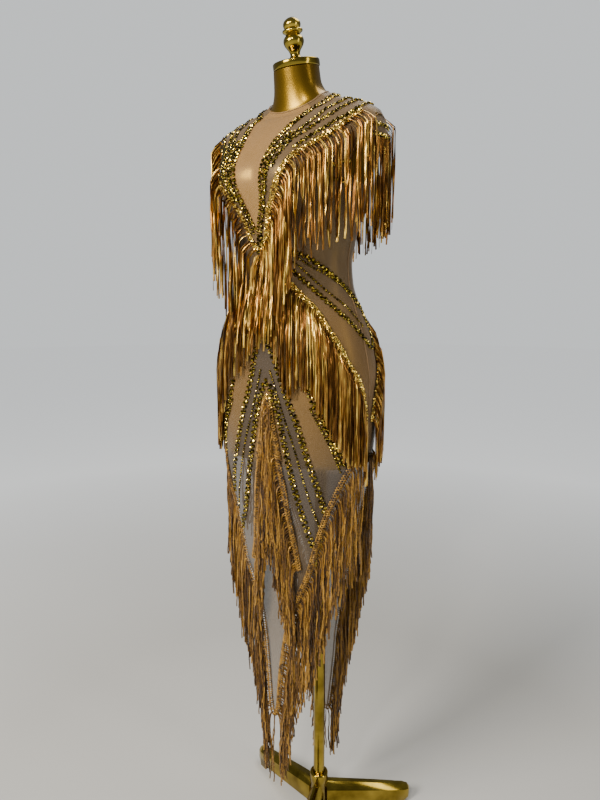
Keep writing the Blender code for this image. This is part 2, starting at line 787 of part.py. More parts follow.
def build_fringe(
    name, line, pitch, lengths, layer, material, slipped=True, surface=on_cloth, length_by=height_of
):
    """A fringe: a narrow strip along its head with strands hanging from the low face."""
    if slipped:
        line = [(turned(*point), point[1]) for point in line]
    samples = fine_line(line)
    widths = [STRIP_WIDTH] * len(samples)
    rings = ribbon(samples, widths, STRIP_CORNERS, surface)
    half_root = max(1, round(STRAND_WIDTH / 2 / LINE_STEP))
    stations = [0]
    strands = {}
    place = half_root + 1
    last_root = None
    while place + half_root < len(rings) - 1:
        root = (rings[place][0][0] + rings[place][0][1]) / 2
        if last_root is not None:
            apart = (root - last_root).length
            sideways = root.xy.length * abs(root.xy.angle_signed(last_root.xy))
            if apart < pitch or sideways < STRAND_SLOT_SHARE * STRAND_WIDTH:
                place += 1
                continue
        begin = place - half_root
        end = place + half_root
        join_stations(stations, rings, begin)
        own_length = read_table(lengths, length_by(root))[0]
        strands[len(stations) - 1] = strand_rings(rings[place], root, own_length, layer, len(strands))
        stations.append(end)
        last_root = root
        place += 2 * half_root + 1
    join_stations(stations, rings, len(rings) - 1)
    points, faces = closed_strip([rings[i] for i in stations], strands)
    add_object(name, mesh_from(name, points, faces), material)


def join_stations(stations, rings, goal):
    """Adds stations up to a goal, close enough that the strip doesn't dip into the cloth."""
    start = stations[-1]
    part = rings[start:goal + 1]
    for index in chosen_stations(part, STRIP_WANDER)[1:]:
        stations.append(start + index)


def strand_rings(ring, root, length, layer, number):
    """The rings of one strand, narrowing to its tip, each a little longer or shorter."""
    _, low, away, _ = ring
    start = root + low * STRAND_START_LOW + away * STRAND_START_OUT
    length *= 1 + STRAND_LENGTH_VARIES * math.sin(2.4 * number)
    path = hanging(start, length, layer)
    rings = []
    for i, (centre, outwards, around) in enumerate(path):
        share = 1 - (1 - STRAND_TIP_SHARE) * i / (len(path) - 1)
        wide = around * STRAND_WIDTH / 2 * share
        deep = outwards * STRAND_DEPTH / 2 * share
        rings.append([centre - wide - deep, centre - wide + deep, centre + wide + deep, centre + wide - deep])
    return [[ring[0], ring[3], ring[2], ring[1]] for ring in rings]


def other_side(line):
    """The same line on the wearer's right."""
    return [(-angle, level) for angle, level in line]


def mirrored(line):
    """A line from the wearer's right side to the left, through the middle of the front."""
    return [(-angle, level) for angle, level in reversed(line) if angle > 0.5] + list(line)


def across_back(line):
    """A line from the wearer's left side to the right, through the middle of the back."""
    left = [(180 - angle, level) for angle, level in reversed(line)]
    right = [(180 + angle, level) for angle, level in line if angle > 0.5]
    return left + right


def hem_head(rows):
    """The fringe's head just above the hem, from the middle to the side."""
    return [(angle, level + HEM_STRIP_INSET) for angle, level in rows if angle < 89]


def turned_solid(name, profile, segments, material, **placing):
    """A solid turned round its own axis from radius and height."""
    points = []
    rings = []
    for radius, height in profile:
        if radius == 0:
            rings.append([len(points)])
            points.append((0, 0, height))
        else:
            rings.append(list(range(len(points), len(points) + segments)))
            for i in range(segments):
                turn = math.tau * i / segments
                points.append((radius * math.cos(turn), radius * math.sin(turn), height))
    faces = []
    for lower, upper in zip(rings, rings[1:]):
        for i in range(segments):
            k = (i + 1) % segments
            if len(lower) == 1:
                faces.append((lower[0], upper[i], upper[k]))
            elif len(upper) == 1:
                faces.append((lower[i], lower[k], upper[0]))
            else:
                faces.append((lower[i], lower[k], upper[k], upper[i]))
    return add_object(name, mesh_from(name, points, faces, smooth=True), material, **placing)


def leg_mesh(name):
    """One cast leg along +X: a roof-shaped bar that slopes down to its glide foot."""
    points = []
    for reach, top_half, side_half, under, edge, top in LEG_SECTIONS:
        points += [
            (reach, -side_half, under), (reach, side_half, under), (reach, side_half, edge),
            (reach, top_half, top), (reach, -top_half, top), (reach, -side_half, edge),
        ]
    faces = [tuple(reversed(range(6)))]
    for i in range(len(LEG_SECTIONS) - 1):
        for k in range(6):
            a = 6 * i + k
            b = 6 * i + (k + 1) % 6
            faces.append((a, b, b + 6, a + 6))
    faces.append(tuple(range(len(points) - 6, len(points))))
    return mesh_from(name, points, faces)


def build_stand(gold):
    """Pole, tripod base, neck cap and finial."""
    pole_profile = [(0, POLE_FOOT), (POLE_RADIUS, POLE_FOOT)]
    pole_top = FORM_BOTTOM - SEAM_GAP
    pole_profile += [(POLE_RADIUS, pole_top), (0, pole_top)]
    turned_solid("stand_pole", pole_profile, STAND_SEGMENTS, gold, place=POLE_PLACE)
    base = turned_solid("tripod_base", HUB_PROFILE, STAND_SEGMENTS, gold, place=POLE_PLACE)
    for number in range(LEG_COUNT):
        turn = math.radians(-90 + STAND_TURN + number * 360 / LEG_COUNT)
        leg = add_object(f"leg_{number}", leg_mesh("leg"), gold, (0, 0, turn), POLE_PLACE)
        cut_clear_of_socket(leg)
        leg.hide_render = True
        leg.display_type = "WIRE"
        join = base.modifiers.new(f"leg_{number}", "BOOLEAN")
        join.operation = "UNION"
        join.object = leg
    tilt = math.radians(NECK_TILT)
    axis = Vector((0, -math.sin(tilt), math.cos(tilt)))
    cap_place = Vector((0, NECK_CENTRE_Y, NECK_TOP)) + axis * CAP_LIFT
    turned_solid("neck_cap", CAP_PROFILE, STAND_SEGMENTS, gold, turn=(tilt, 0, 0), place=cap_place)
    finial_place = cap_place + axis * (CAP_PROFILE[-1][1] + SEAM_GAP)
    turned_solid("finial", FINIAL_PROFILE, FINIAL_SEGMENTS, gold, turn=(tilt, 0, 0), place=finial_place)


def cut_clear_of_socket(leg):
    """Moves the leg's inner end into the hub's wall, clear of the pole's socket."""
    socket = max(radius for radius, height in HUB_PROFILE if height == HUB_PROFILE[-1][1])
    for vertex in leg.data.vertices:
        if vertex.co.x < 0.03:
            vertex.co.x = socket + 0.003


def build():
    """All of the part."""
    for thing in list(bpy.data.objects):
        bpy.data.objects.remove(thing)
    finish = {name: make_material(name) for name in MATERIALS}
    build_form(finish["gold_form"])
    build_stand(finish["gold_metal"])
    count = int(90 / COLUMN_STEP)
    build_panel("dress_front", [COLUMN_STEP * i for i in range(-count, count + 1)], finish["nude_mesh"])
    build_panel("dress_back_left", [90 + COLUMN_STEP * i for i in range(count + 1)], finish["nude_mesh"])
    build_panel("dress_back_right", [-180 + COLUMN_STEP * i for i in range(count + 1)], finish["nude_mesh"])
    build_sleeve("sleeve_left", 1, finish["nude_mesh"])
    build_sleeve("sleeve_right", -1, finish["nude_mesh"])

    stones = finish["gold_stones"]
    build_band("plunge_band_left", PLUNGE_LINE + CENTRE_LINE, MAIN_BAND, stones)
    build_band("plunge_band_right", other_side(PLUNGE_LINE), MAIN_BAND, stones)
    build_band("yoke_band_left", YOKE_LINE, YOKE_BAND, stones)
    build_band("yoke_band_right", other_side(YOKE_LINE), YOKE_BAND, stones)
    build_band("waist_leaf_left", LEAF_LINE, LEAF_BAND, stones)
    build_band("waist_leaf_right", other_side(LEAF_LINE), LEAF_BAND, stones)
    build_band("skirt_band_outer", mirrored(SKIRT_OUTER), MAIN_BAND, stones, pointed=True)
    build_band("skirt_band_inner", mirrored(SKIRT_INNER), MAIN_BAND, stones, pointed=True)
    build_band("thigh_band_left", THIGH_LINE, LEAF_BAND, stones)
    build_band("thigh_band_right", other_side(THIGH_LINE), LEAF_BAND, stones)

    foil = finish["foil_fringe"]
    right_yoke = list(reversed(other_side(YOKE_HEAD)))
    back_yoke = across_back(BACK_YOKE_HEAD)
    hem_front = mirrored(hem_head(HEM_FRONT))
    hem_back = across_back(hem_head(HEM_BACK))
    build_fringe("yoke_fringe_left", YOKE_HEAD, YOKE_SPACING, YOKE_LENGTHS, YOKE_LAYER, foil)
    build_fringe("yoke_fringe_right", right_yoke, YOKE_SPACING, YOKE_LENGTHS, YOKE_LAYER, foil)
    build_fringe("back_yoke_fringe", back_yoke, BACK_YOKE_SPACING, YOKE_LENGTHS, YOKE_LAYER, foil)
    build_fringe(
        "hip_fringe_front", mirrored(HIP_HEAD), HIP_SPACING, HIP_LENGTHS, HIP_LAYER, foil,
        length_by=direction_of
    )
    build_fringe(
        "hip_fringe_back", across_back(BACK_HIP_HEAD), BACK_HIP_SPACING, HIP_LENGTHS, HIP_LAYER, foil,
        length_by=direction_of
    )
    build_fringe("hem_fringe_front", hem_front, HEM_SPACING, HEM_LENGTHS, HEM_LAYER, foil)
    build_fringe("hem_fringe_back", hem_back, BACK_HEM_SPACING, HEM_LENGTHS, HEM_LAYER, foil)
    build_fringe("apex_fringe", mirrored(APEX_HEAD), APEX_SPACING, APEX_LENGTHS, APEX_LAYER, foil)
    build_sleeve_fringe("sleeve_fringe_left", 1, foil)
    build_sleeve_fringe("sleeve_fringe_right", -1, foil)


def build_sleeve_fringe(name, side, material):
    """The fringe along a cap sleeve's rim."""
    ends = (SLEEVE_ANGLES[0] + 2, SLEEVE_ANGLES[-1] - 2)
    rim_level = SLEEVE_TOP - SLEEVE_DROP * 0.86
    count = 8
    line = [(side * (ends[0] + (ends[1] - ends[0]) * i / count), rim_level) for i in range(count + 1)]
    if side < 0:
        line.reverse()

    def on_sleeve(angle, level, out):
        return sleeve_point(angle, (SLEEVE_TOP - level) / SLEEVE_DROP, CLOTH_THICKNESS + out)

    build_fringe(name, line, SLEEVE_SPACING, SLEEVE_LENGTHS, SLEEVE_LAYER, material, False, on_sleeve)


build()
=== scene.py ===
import math
import random
from bisect import bisect_right
from functools import cache

import bpy
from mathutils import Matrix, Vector


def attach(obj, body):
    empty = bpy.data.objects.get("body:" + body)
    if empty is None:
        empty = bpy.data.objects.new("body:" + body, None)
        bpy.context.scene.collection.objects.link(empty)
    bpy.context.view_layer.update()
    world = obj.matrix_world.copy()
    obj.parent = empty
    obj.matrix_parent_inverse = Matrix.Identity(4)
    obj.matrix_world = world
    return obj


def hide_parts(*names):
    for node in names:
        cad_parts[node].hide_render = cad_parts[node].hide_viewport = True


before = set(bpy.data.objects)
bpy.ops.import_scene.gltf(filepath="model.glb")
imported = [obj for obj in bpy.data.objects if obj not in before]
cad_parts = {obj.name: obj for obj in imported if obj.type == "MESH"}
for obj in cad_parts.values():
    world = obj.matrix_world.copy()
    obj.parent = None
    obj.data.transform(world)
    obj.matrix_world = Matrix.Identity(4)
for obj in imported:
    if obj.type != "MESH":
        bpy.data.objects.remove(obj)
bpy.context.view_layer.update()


# Camera
# The picture is taken from in front of the wearer's left side, a little above the
# waist, and looks slightly down. The places here are metres from the body's axis.
BODY_X = 0.0072
BODY_Y = -0.041
PICTURE_HEIGHT_PX = 800
FOCAL_LENGTH_PX = 597.0
CAMERA_PLACE = (0.7075, -0.9256, 1.187)
CAMERA_DOWN = 9.9
CAMERA_ROUND = 37.0

bpy.ops.object.camera_add(
    location=(CAMERA_PLACE[0] + BODY_X, CAMERA_PLACE[1] + BODY_Y, CAMERA_PLACE[2]),
    rotation=(math.radians(90 - CAMERA_DOWN), 0, math.radians(CAMERA_ROUND)),
)
camera = bpy.context.object
camera.data.sensor_width = 36
camera.data.lens = FOCAL_LENGTH_PX * camera.data.sensor_width / PICTURE_HEIGHT_PX
bpy.context.scene.camera = camera


# Floor and studio light
# A plain pale floor that runs out to the pale surroundings, lit by a broad soft box
# from the front left, a small lamp from the front right, and a tall narrow box on the
# right and a weak one above the back.
FLOOR_RADIUS = 14.0
FLOOR_COLOUR = (0.56, 0.56, 0.55)
FAR_GLOW = (0.62, 0.64, 0.65)
SURROUNDINGS = (0.8, 0.83, 0.84)
SEEN_STRENGTH = 0.95
CAST_STRENGTH = 0.24
LIGHT_COLOUR = (1.0, 0.94, 0.84)
SOFT_BOXES = [
    # name, place, what it points at, width, height, power
    ("key", (-0.55, -2.35, 2.3), (0, 0, 1.1), 1.0, 1.0, 120.0),
    ("lamp", (0.7, -2.1, 2.6), (0, 0, 1.1), 0.22, 0.22, 26.0),
    ("side", (2.2, 0.1, 1.6), (0, 0, 1.1), 0.35, 1.8, 12.0),
    ("top", (0.3, 0.9, 3.1), (0, 0, 1.2), 1.6, 1.0, 30.0),
]


class Shade:
    """A value in a material, for use in sums and products and as another node's input."""

    def __init__(self, tree, socket=None):
        self.tree = tree
        self.socket = socket

    def node(self, kind, settings=None, inputs=None, output=0):
        """The output of a new node with these settings and inputs."""
        made = self.tree.nodes.new(kind)
        for key, value in (settings or {}).items():
            if key == "stops":
                elements = made.color_ramp.elements
                elements.remove(elements[1])
                elements[0].position, elements[0].color = value[0]
                for place, colour in value[1:]:
                    elements.new(place).color = colour
            else:
                setattr(made, key, value)
        for key, value in (inputs or {}).items():
            if isinstance(value, Shade):
                self.tree.links.new(value.socket, made.inputs[key])
            else:
                made.inputs[key].default_value = value
        return Shade(self.tree, made.outputs[output])

    def maths(self, operation, *values):
        return self.node("ShaderNodeMath", {"operation": operation}, dict(enumerate(values)))

    def __add__(self, other):
        return self.maths("ADD", self, other)

    def __mul__(self, other):
        return self.maths("MULTIPLY", self, other)


def new_finish(name, **constants):
    """A material, its shader and the place on the object, which starts its expressions."""
    material = bpy.data.materials.new(name)
    material.use_nodes = True
    shader = material.node_tree.nodes["Principled BSDF"]
    for key, value in constants.items():
        shader.inputs[key.replace("_", " ")].default_value = value
    return material, shader, Shade(material.node_tree).node("ShaderNodeTexCoord", output="Object")


def feed(shader, **values):
    """Links values that change over the surface to the shader's sockets."""
    for key, value in values.items():
        shader.id_data.links.new(value.socket, shader.inputs[key.replace("_", " ")])


def noise(place, scale, detail=2.0):
    """Cloudy variation from 0 to 1."""
    return place.node("ShaderNodeTexNoise", {}, {"Vector": place, "Scale": scale, "Detail": detail})


def tones(value, *stops):
    """Colours along a value from 0 to 1."""
    return value.node("ShaderNodeValToRGB", {"stops": [(p, (*c, 1)) for p, c in stops]}, {"Fac": value})


def bump(height, strength, distance):
    """A normal for a height given as a share of distance, in metres."""
    return height.node("ShaderNodeBump", {}, {
        "Height": height, "Strength": strength, "Distance": distance
    })


floor_finish, shader, place = new_finish("pale_floor", Roughness=0.55, Emission_Strength=1.0)
lighter = [1.03 * part for part in FLOOR_COLOUR]
distance = place.node("ShaderNodeVectorMath", {"operation": "LENGTH"}, {0: place}, "Value")
feed(
    shader,
    Base_Color=tones(noise(place, 1.5), (0.3, FLOOR_COLOUR), (0.7, lighter)),
    Emission_Color=tones(distance * (1 / FLOOR_RADIUS), (0.06, (0, 0, 0)), (0.22, FAR_GLOW)),
)
bpy.ops.mesh.primitive_circle_add(vertices=96, radius=FLOOR_RADIUS, fill_type="NGON")
floor = bpy.context.object
floor.name = "studio_floor"
floor.data.materials.append(floor_finish)

for name, at, towards, width, height, power in SOFT_BOXES:
    bpy.ops.object.light_add(type="AREA", location=at)
    soft_box = bpy.context.object
    soft_box.name = f"soft_box_{name}"
    soft_box.rotation_euler = (Vector(towards) - Vector(at)).to_track_quat("-Z", "Y").to_euler()
    soft_box.data.shape = "RECTANGLE"
    soft_box.data.size = width
    soft_box.data.size_y = height
    soft_box.data.energy = power
    soft_box.data.color = LIGHT_COLOUR

world = bpy.data.worlds.new("studio")
bpy.context.scene.world = world
world.use_nodes = True
world.node_tree.nodes["Background"].inputs["Color"].default_value = (*SURROUNDINGS, 1)
seen = Shade(world.node_tree).node("ShaderNodeLightPath", output="Is Camera Ray")
strength = seen * (SEEN_STRENGTH - CAST_STRENGTH) + CAST_STRENGTH
world.node_tree.links.new(strength.socket, world.node_tree.nodes["Background"].inputs["Strength"])


# Stand: pole, tripod foot, neck cap and finial
# Turned and cast metal plated in polished gold. The finial screws into the cap, the
# cap closes the neck, and the pole stands in the foot's socket.
GOLD = (0.42, 0.3, 0.045)
GOLD_DEEP = (0.15, 0.1, 0.01)
NECK_TOP = 1.59
NECK_CENTRE_Y = 0.004
NECK_TILT = 12.0
CAP_LIFT = 0.0011
FINIAL_LIFT = 0.0003
LEG_ROUNDING = 0.0025
TURNING_STEPS = 56
# radius and height of each step of a turned profile
CAP_PROFILE = [
    (0.0405, 0.0), (0.042, 0.0006), (0.0426, 0.0018), (0.0426, 0.0095), (0.0422, 0.0112),
    (0.0412, 0.012), (0.02, 0.012),
]
FINIAL_PROFILE = [
    (0.0135, 0.0), (0.0138, 0.0014), (0.0133, 0.0028), (0.0112, 0.0055), (0.0096, 0.008),
    (0.0088, 0.0105), (0.0092, 0.0135), (0.011, 0.0175), (0.014, 0.0215), (0.0166, 0.025),
    (0.0182, 0.029), (0.0186, 0.032), (0.018, 0.0355), (0.016, 0.039), (0.0135, 0.0415),
    (0.0128, 0.043), (0.015, 0.0446), (0.0178, 0.0464), (0.0184, 0.0482), (0.0178, 0.05),
    (0.015, 0.0513), (0.0138, 0.0524), (0.0152, 0.0548), (0.0158, 0.058), (0.0152, 0.0612),
    (0.0134, 0.0642), (0.0104, 0.0668), (0.0066, 0.0688), (0.0026, 0.07),
]

gold_plate, shader, place = new_finish("gold_plate", Metallic=1.0)
smears = noise(place, 18, 4)
feed(
    shader,
    Base_Color=tones(smears, (0.3, GOLD_DEEP), (0.62, GOLD)),
    Roughness=smears * 0.16 + 0.08,
    Normal=bump(noise(place, 60, 3), 0.1, 0.0006),
)


def turned_piece(name, profile, tilt, foot):
    """A turned piece: a circle extruded and sized step by step up its profile."""
    bpy.ops.mesh.primitive_circle_add(vertices=TURNING_STEPS, radius=profile[0][0], fill_type="NGON")
    piece = bpy.context.object
    piece.name = name
    bpy.ops.object.mode_set(mode="EDIT")
    bpy.ops.mesh.select_all(action="SELECT")
    for (radius, height), (next_radius, next_height) in zip(profile, profile[1:]):
        bpy.ops.mesh.extrude_region_move(TRANSFORM_OT_translate={"value": (0, 0, next_height - height)})
        share = next_radius / radius
        bpy.ops.transform.resize(value=(share, share, 1))
    bpy.ops.mesh.select_all(action="SELECT")
    bpy.ops.mesh.normals_make_consistent(inside=False)
    bpy.ops.object.mode_set(mode="OBJECT")
    piece.rotation_euler = (tilt, 0, 0)
    piece.location = foot
    bpy.ops.object.transform_apply(location=True, rotation=True, scale=True)
    bpy.ops.object.shade_smooth_by_angle(angle=math.radians(50))
    piece.data.materials.append(gold_plate)
    return piece


def edit_only(piece):
    """Opens one piece for editing, with all of it selected."""
    bpy.ops.object.select_all(action="DESELECT")
    bpy.context.view_layer.objects.active = piece
    piece.select_set(True)
    bpy.ops.object.mode_set(mode="EDIT")
    bpy.ops.mesh.select_all(action="SELECT")


tilt = math.radians(NECK_TILT)
up_neck = Vector((0, -math.sin(tilt), math.cos(tilt)))
neck_middle = Vector((BODY_X, BODY_Y + NECK_CENTRE_Y, NECK_TOP))
cap_foot = neck_middle + up_neck * CAP_LIFT
neck_cap = turned_piece("neck_cap_turned", CAP_PROFILE, tilt, cap_foot)
finial_foot = cap_foot + up_neck * (CAP_PROFILE[-1][1] + FINIAL_LIFT)
finial = turned_piece("finial_turned", FINIAL_PROFILE, tilt, finial_foot)
for piece, node in ((neck_cap, "neck_cap"), (finial, "finial")):
    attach(piece, "root")
    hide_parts(node)

tripod = bpy.data.objects.new("tripod_foot_cast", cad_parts["tripod_base"].data.copy())
bpy.context.scene.collection.objects.link(tripod)
tripod.data.materials.clear()
tripod.data.materials.append(gold_plate)
edit_only(tripod)
bpy.ops.mesh.remove_doubles(threshold=0.00002)
bpy.ops.mesh.dissolve_limited(angle_limit=math.radians(3))
bpy.ops.object.mode_set(mode="OBJECT")
rounding = tripod.modifiers.new("rounding", "BEVEL")
rounding.width = LEG_ROUNDING
rounding.segments = 3
rounding.limit_method = "ANGLE"
rounding.angle_limit = math.radians(28)
rounding.use_clamp_overlap = True
bpy.ops.object.modifier_apply(modifier="rounding")
bpy.ops.object.shade_smooth_by_angle(angle=math.radians(40))
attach(tripod, "root")
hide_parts("tripod_base")
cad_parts["stand_pole"].material_slots[0].material = gold_plate


# Dress form
# A padded limbless torso covered in stretched metallic gold satin, gathered tight
# at the neck. Its rings are the ones that the whole garment is cut to.
BUST_SWELL = 0.036
BUST_LEVEL = 1.385
BUST_ASIDE = 0.072
BUST_SPREAD = 0.046
BUST_ABOVE = 0.06
BUST_BELOW = 0.048
BUST_MIDDLE_DIP = 0.35
# level, half width, depth to the front and to the back, power of the oval, dip of the front
SECTIONS = [
    (0.2, 0.082, 0.07, 0.105, 2.1, 0),
    (0.3, 0.088, 0.072, 0.106, 2.1, 0),
    (0.53, 0.101, 0.078, 0.107, 2.1, 0),
    (0.7, 0.127, 0.086, 0.11, 2.15, 0),
    (0.78, 0.141, 0.091, 0.112, 2.15, 0),
    (0.877, 0.156, 0.098, 0.116, 2.2, 0),
    (0.96, 0.163, 0.1, 0.122, 2.2, 0),
    (1.03, 0.164, 0.101, 0.124, 2.2, 0),
    (1.1, 0.153, 0.099, 0.112, 2.15, 0),
    (1.16, 0.133, 0.092, 0.09, 2.1, 0),
    (1.21, 0.118, 0.086, 0.074, 2.05, 0),
    (1.245, 0.115, 0.085, 0.072, 2.05, 0),
    (1.29, 0.122, 0.089, 0.08, 2.05, 0),
    (1.35, 0.136, 0.095, 0.094, 2.1, 0),
    (1.4, 0.146, 0.095, 0.102, 2.1, 0),
    (1.435, 0.165, 0.087, 0.102, 2.1, 0),
    (1.465, 0.178, 0.073, 0.096, 2.1, 0.004),
    (1.49, 0.172, 0.056, 0.088, 2.0, 0.008),
    (1.507, 0.145, 0.045, 0.08, 1.9, 0.014),
    (1.52, 0.105, 0.036, 0.072, 1.85, 0.02),
    (1.53, 0.07, 0.03, 0.066, 1.9, 0.026),
    (1.54, 0.052, 0.027, 0.06, 2.0, 0.026),
    (1.56, 0.044, 0.03, 0.052, 2.0, 0.018),
    (1.59, 0.0415, 0.0375, 0.0455, 2.0, 0.0088),
]
FORM_BOTTOM = 0.877
FORM_ROWS = 110
FORM_COLUMN = 3
NUDGE_ANGLE = 0.8
NUDGE_LEVEL = 0.002


def read_table(rows, key):
    """The other columns of a table at a value of its first, on smooth monotone curves."""
    keys = [row[0] for row in rows]
    key = min(max(key, keys[0]), keys[-1])
    i = 0
    while i < len(rows) - 2 and keys[i + 1] <= key:
        i += 1

    def slopes(k):
        if k == 0 or k == len(rows) - 1:
            a, b = (rows[0], rows[1]) if k == 0 else (rows[-2], rows[-1])
            return [(q - p) / (b[0] - a[0]) for p, q in zip(a[1:], b[1:])]
        result = []
        for p, q, r in zip(rows[k - 1][1:], rows[k][1:], rows[k + 1][1:]):
            left = (q - p) / (keys[k] - keys[k - 1])
            right = (r - q) / (keys[k + 1] - keys[k])
            result.append(2 * left * right / (left + right) if left * right > 0 else 0.0)
        return result

    span = keys[i + 1] - keys[i]
    t = (key - keys[i]) / span
    columns = zip(rows[i][1:], rows[i + 1][1:], slopes(i), slopes(i + 1))
    return [
        (2 * t**3 - 3 * t**2 + 1) * p
        + (t**3 - 2 * t**2 + t) * span * m
        + (3 * t**2 - 2 * t**3) * q
        + (t**3 - t**2) * span * n
        for p, q, m, n in columns
    ]


@cache
def section(level):
    """The ring's sizes at a level."""
    return tuple(read_table(SECTIONS, level))


@cache
def skin(angle, level):
    """A point of the form's surface: 0 degrees is the middle of the front, 90 the wearer's left."""
    half_width, front, back, power, dip = section(round(level, 4))
    sine = math.sin(math.radians(angle))
    cosine = math.cos(math.radians(angle))
    x = half_width * math.copysign(abs(sine) ** (2 / power), sine)
    depth = front if cosine > 0 else back
    y = -depth * math.copysign(abs(cosine) ** (2 / power), cosine)
    z = level - dip * cosine
    if cosine > 0:
        aside = abs(x)
        if aside < BUST_ASIDE:
            across = 1 - BUST_MIDDLE_DIP * (1 - aside / BUST_ASIDE) ** 2
        else:
            across = math.exp(-(((aside - BUST_ASIDE) / BUST_SPREAD) ** 2))
        spread = BUST_ABOVE if z > BUST_LEVEL else BUST_BELOW
        y -= BUST_SWELL * across * math.exp(-(((z - BUST_LEVEL) / spread) ** 2)) * min(1, 3 * cosine)
    return Vector((x + BODY_X, y + BODY_Y, z))


@cache
def outward(angle, level):
    """The direction square to the form's surface, away from it."""
    around = skin(angle + NUDGE_ANGLE, level) - skin(angle - NUDGE_ANGLE, level)
    upward = skin(angle, level + NUDGE_LEVEL) - skin(angle, level - NUDGE_LEVEL)
    return around.cross(upward).normalized()


def piece_from(name, points, faces, finish, smooth=True):
    """A new piece from points and faces, riding on the part's one body."""
    mesh = bpy.data.meshes.new(name)
    mesh.from_pydata(points, [], faces)
    if smooth:
        mesh.shade_smooth()
    piece = bpy.data.objects.new(name, mesh)
    bpy.context.scene.collection.objects.link(piece)
    mesh.materials.append(finish)
    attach(piece, "root")
    return piece


def grid_faces(columns, rows, closed=False, first=0):
    """Four-sided faces over rows of points, from the first point on."""
    faces = []
    for low in range(first, first + (rows - 1) * columns, columns):
        for c in range(columns if closed else columns - 1):
            beside = (c + 1) % columns
            faces.append((low + c, low + beside, low + columns + beside, low + columns + c))
    return faces


gold_satin, shader, place = new_finish("gold_satin_cover", Metallic=0.85)
threads = noise(place, 900, 1)
shine = noise(place, 7, 2)
feed(
    shader,
    Base_Color=tones(shine, (0.35, (0.14, 0.078, 0.004)), (0.65, (0.24, 0.142, 0.009))),
    Roughness=threads * 0.1 + 0.24,
    Normal=bump(threads, 0.15, 0.0003),
)

form_height = NECK_TOP - FORM_BOTTOM
levels = [round(FORM_BOTTOM + form_height * i / FORM_ROWS, 4) for i in range(FORM_ROWS + 1)]
angles = list(range(-180, 180, FORM_COLUMN))
points = [skin(angle, level) for level in levels for angle in angles]
faces = grid_faces(len(angles), len(levels), closed=True)
faces.append(tuple(reversed(range(len(angles)))))
faces.append(tuple(range(len(points) - len(angles), len(points))))
form_body = piece_from("form_torso_covered", points, faces, gold_satin)
form_body.data.set_sharp_from_angle(angle=math.radians(50))
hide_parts("form_torso")


# Net panels
# Sheer nude stretch net: one front and two backs, sewn at the sides and the middle
# of the back. It lies tight on the form and hangs in faint folds below it.
NET_OUT = 0.0013
NET_WALL = 0.0014
NET_INSIDE = 0.0008
FOLD_FROM = 0.88
FOLD_GROWS = 0.15
FOLD_DEPTH = 0.0026
# waves round the body, shift, lean with the level, height
FOLD_WAVES = [(11, 0, 0, 0.5), (17, 40, 260, 0.3), (37, 0, 90, 0.35)]
NET_TOP = 1.536
NET_JOIN = 0.95
LOWER_ROWS = 48
NET_COLUMN = 3
# level and the slip there at the middle of the front
TURN = [
    (0.2, 2.0), (0.34, 2.0), (0.45, 3.5), (0.55, 6.0), (0.65, 7.0), (0.8, 5.0), (1.03, 3.0),
    (1.11, 0.0), (1.2, -6.5), (1.31, -6.5), (1.37, -3.2), (1.55, -3.2),
]
# angle from the middle and level, here and in the lines that follow
HEM_FRONT = [
    (0, 0.336), (4, 0.345), (6.5, 0.38), (9.5, 0.45), (13.5, 0.52), (21, 0.585), (28, 0.625),
    (35, 0.665), (40, 0.712), (48, 0.775), (57, 0.825), (66, 0.862), (78, 0.892), (90, 0.905),
]
HEM_BACK = [
    (0, 0.236), (4, 0.245), (7, 0.29), (11, 0.37), (15, 0.44), (20, 0.51), (25, 0.575), (32, 0.64),
    (40, 0.71), (48, 0.77), (57, 0.822), (66, 0.862), (78, 0.892), (90, 0.905),
]
PLUNGE_WIDEST = 51
PLUNGE_LINE = [
    (178, 1.527), (150, 1.527), (120, 1.527), (95, 1.527), (72, 1.527), (50, 1.525), (36, 1.519),
    (26.5, 1.507), (20, 1.494), (15.5, 1.474), (13.4, 1.452), (13, 1.43), (13, 1.408),
    (12.4, 1.388), (11, 1.366), (8.8, 1.345), (6.4, 1.327), (4.2, 1.311), (2.2, 1.298),
]
SKIRT_OUTER = [
    (0, 1.118), (6.2, 1.083), (9.2, 1.05), (13.2, 1.013), (20, 0.965), (27.5, 0.908), (34, 0.866),
    (40.5, 0.83), (45, 0.805), (48, 0.792),
]
SKIRT_INNER = [
    (0, 1.033), (5.2, 0.998), (7.4, 0.97), (9.8, 0.94), (12.9, 0.9), (17, 0.855), (22, 0.813),
    (28.8, 0.768), (34.5, 0.738), (38, 0.722),
]
ARMHOLE_MIDDLE = (90, 1.431)
ARMHOLE_REACH = (22, 0.052)
# level and how dense the net looks there outside the plunge and the skirt's bands; the same value
# darkens the net's colour, so its rise at the waist and upper body and below the form is partly painted
# shade
NET_DENSITY_AND_SHADE = [
    (0.2, 0.6), (0.45, 0.71), (FORM_BOTTOM - 0.001, 0.94), (FORM_BOTTOM + 0.001, 0.64),
    (1.04, 0.38), (1.12, 0.42), (1.2, 0.62), (1.55, 0.62),
]
# The sleeves take the upper body's darker value, which is partly painted shade.
SLEEVE_DENSITY_AND_SHADE = 0.6


def slip(angle, level):
    """How far the dress has slipped round the form at a place, in degrees."""
    return read_table(TURN, level)[0] * math.cos(math.radians(angle))


def fold(angle, level):
    """How far the net stands in or out in the faint folds of the skirt."""
    if level > FOLD_FROM:
        return 0.0
    share = min(1.0, (FOLD_FROM - level) / FOLD_GROWS)
    wave = sum(
        height * math.sin(math.radians(angle * count + shift + lean * level))
        for count, shift, lean, height in FOLD_WAVES
    )
    return FOLD_DEPTH * share * wave


def on_net(angle, level, out=0.0):
    """A point on the net's outer face, or this far outside it."""
    spot = (round(angle, 2), round(level, 4))
    return skin(*spot) + outward(*spot) * (NET_OUT + NET_WALL + fold(angle, level) + out)


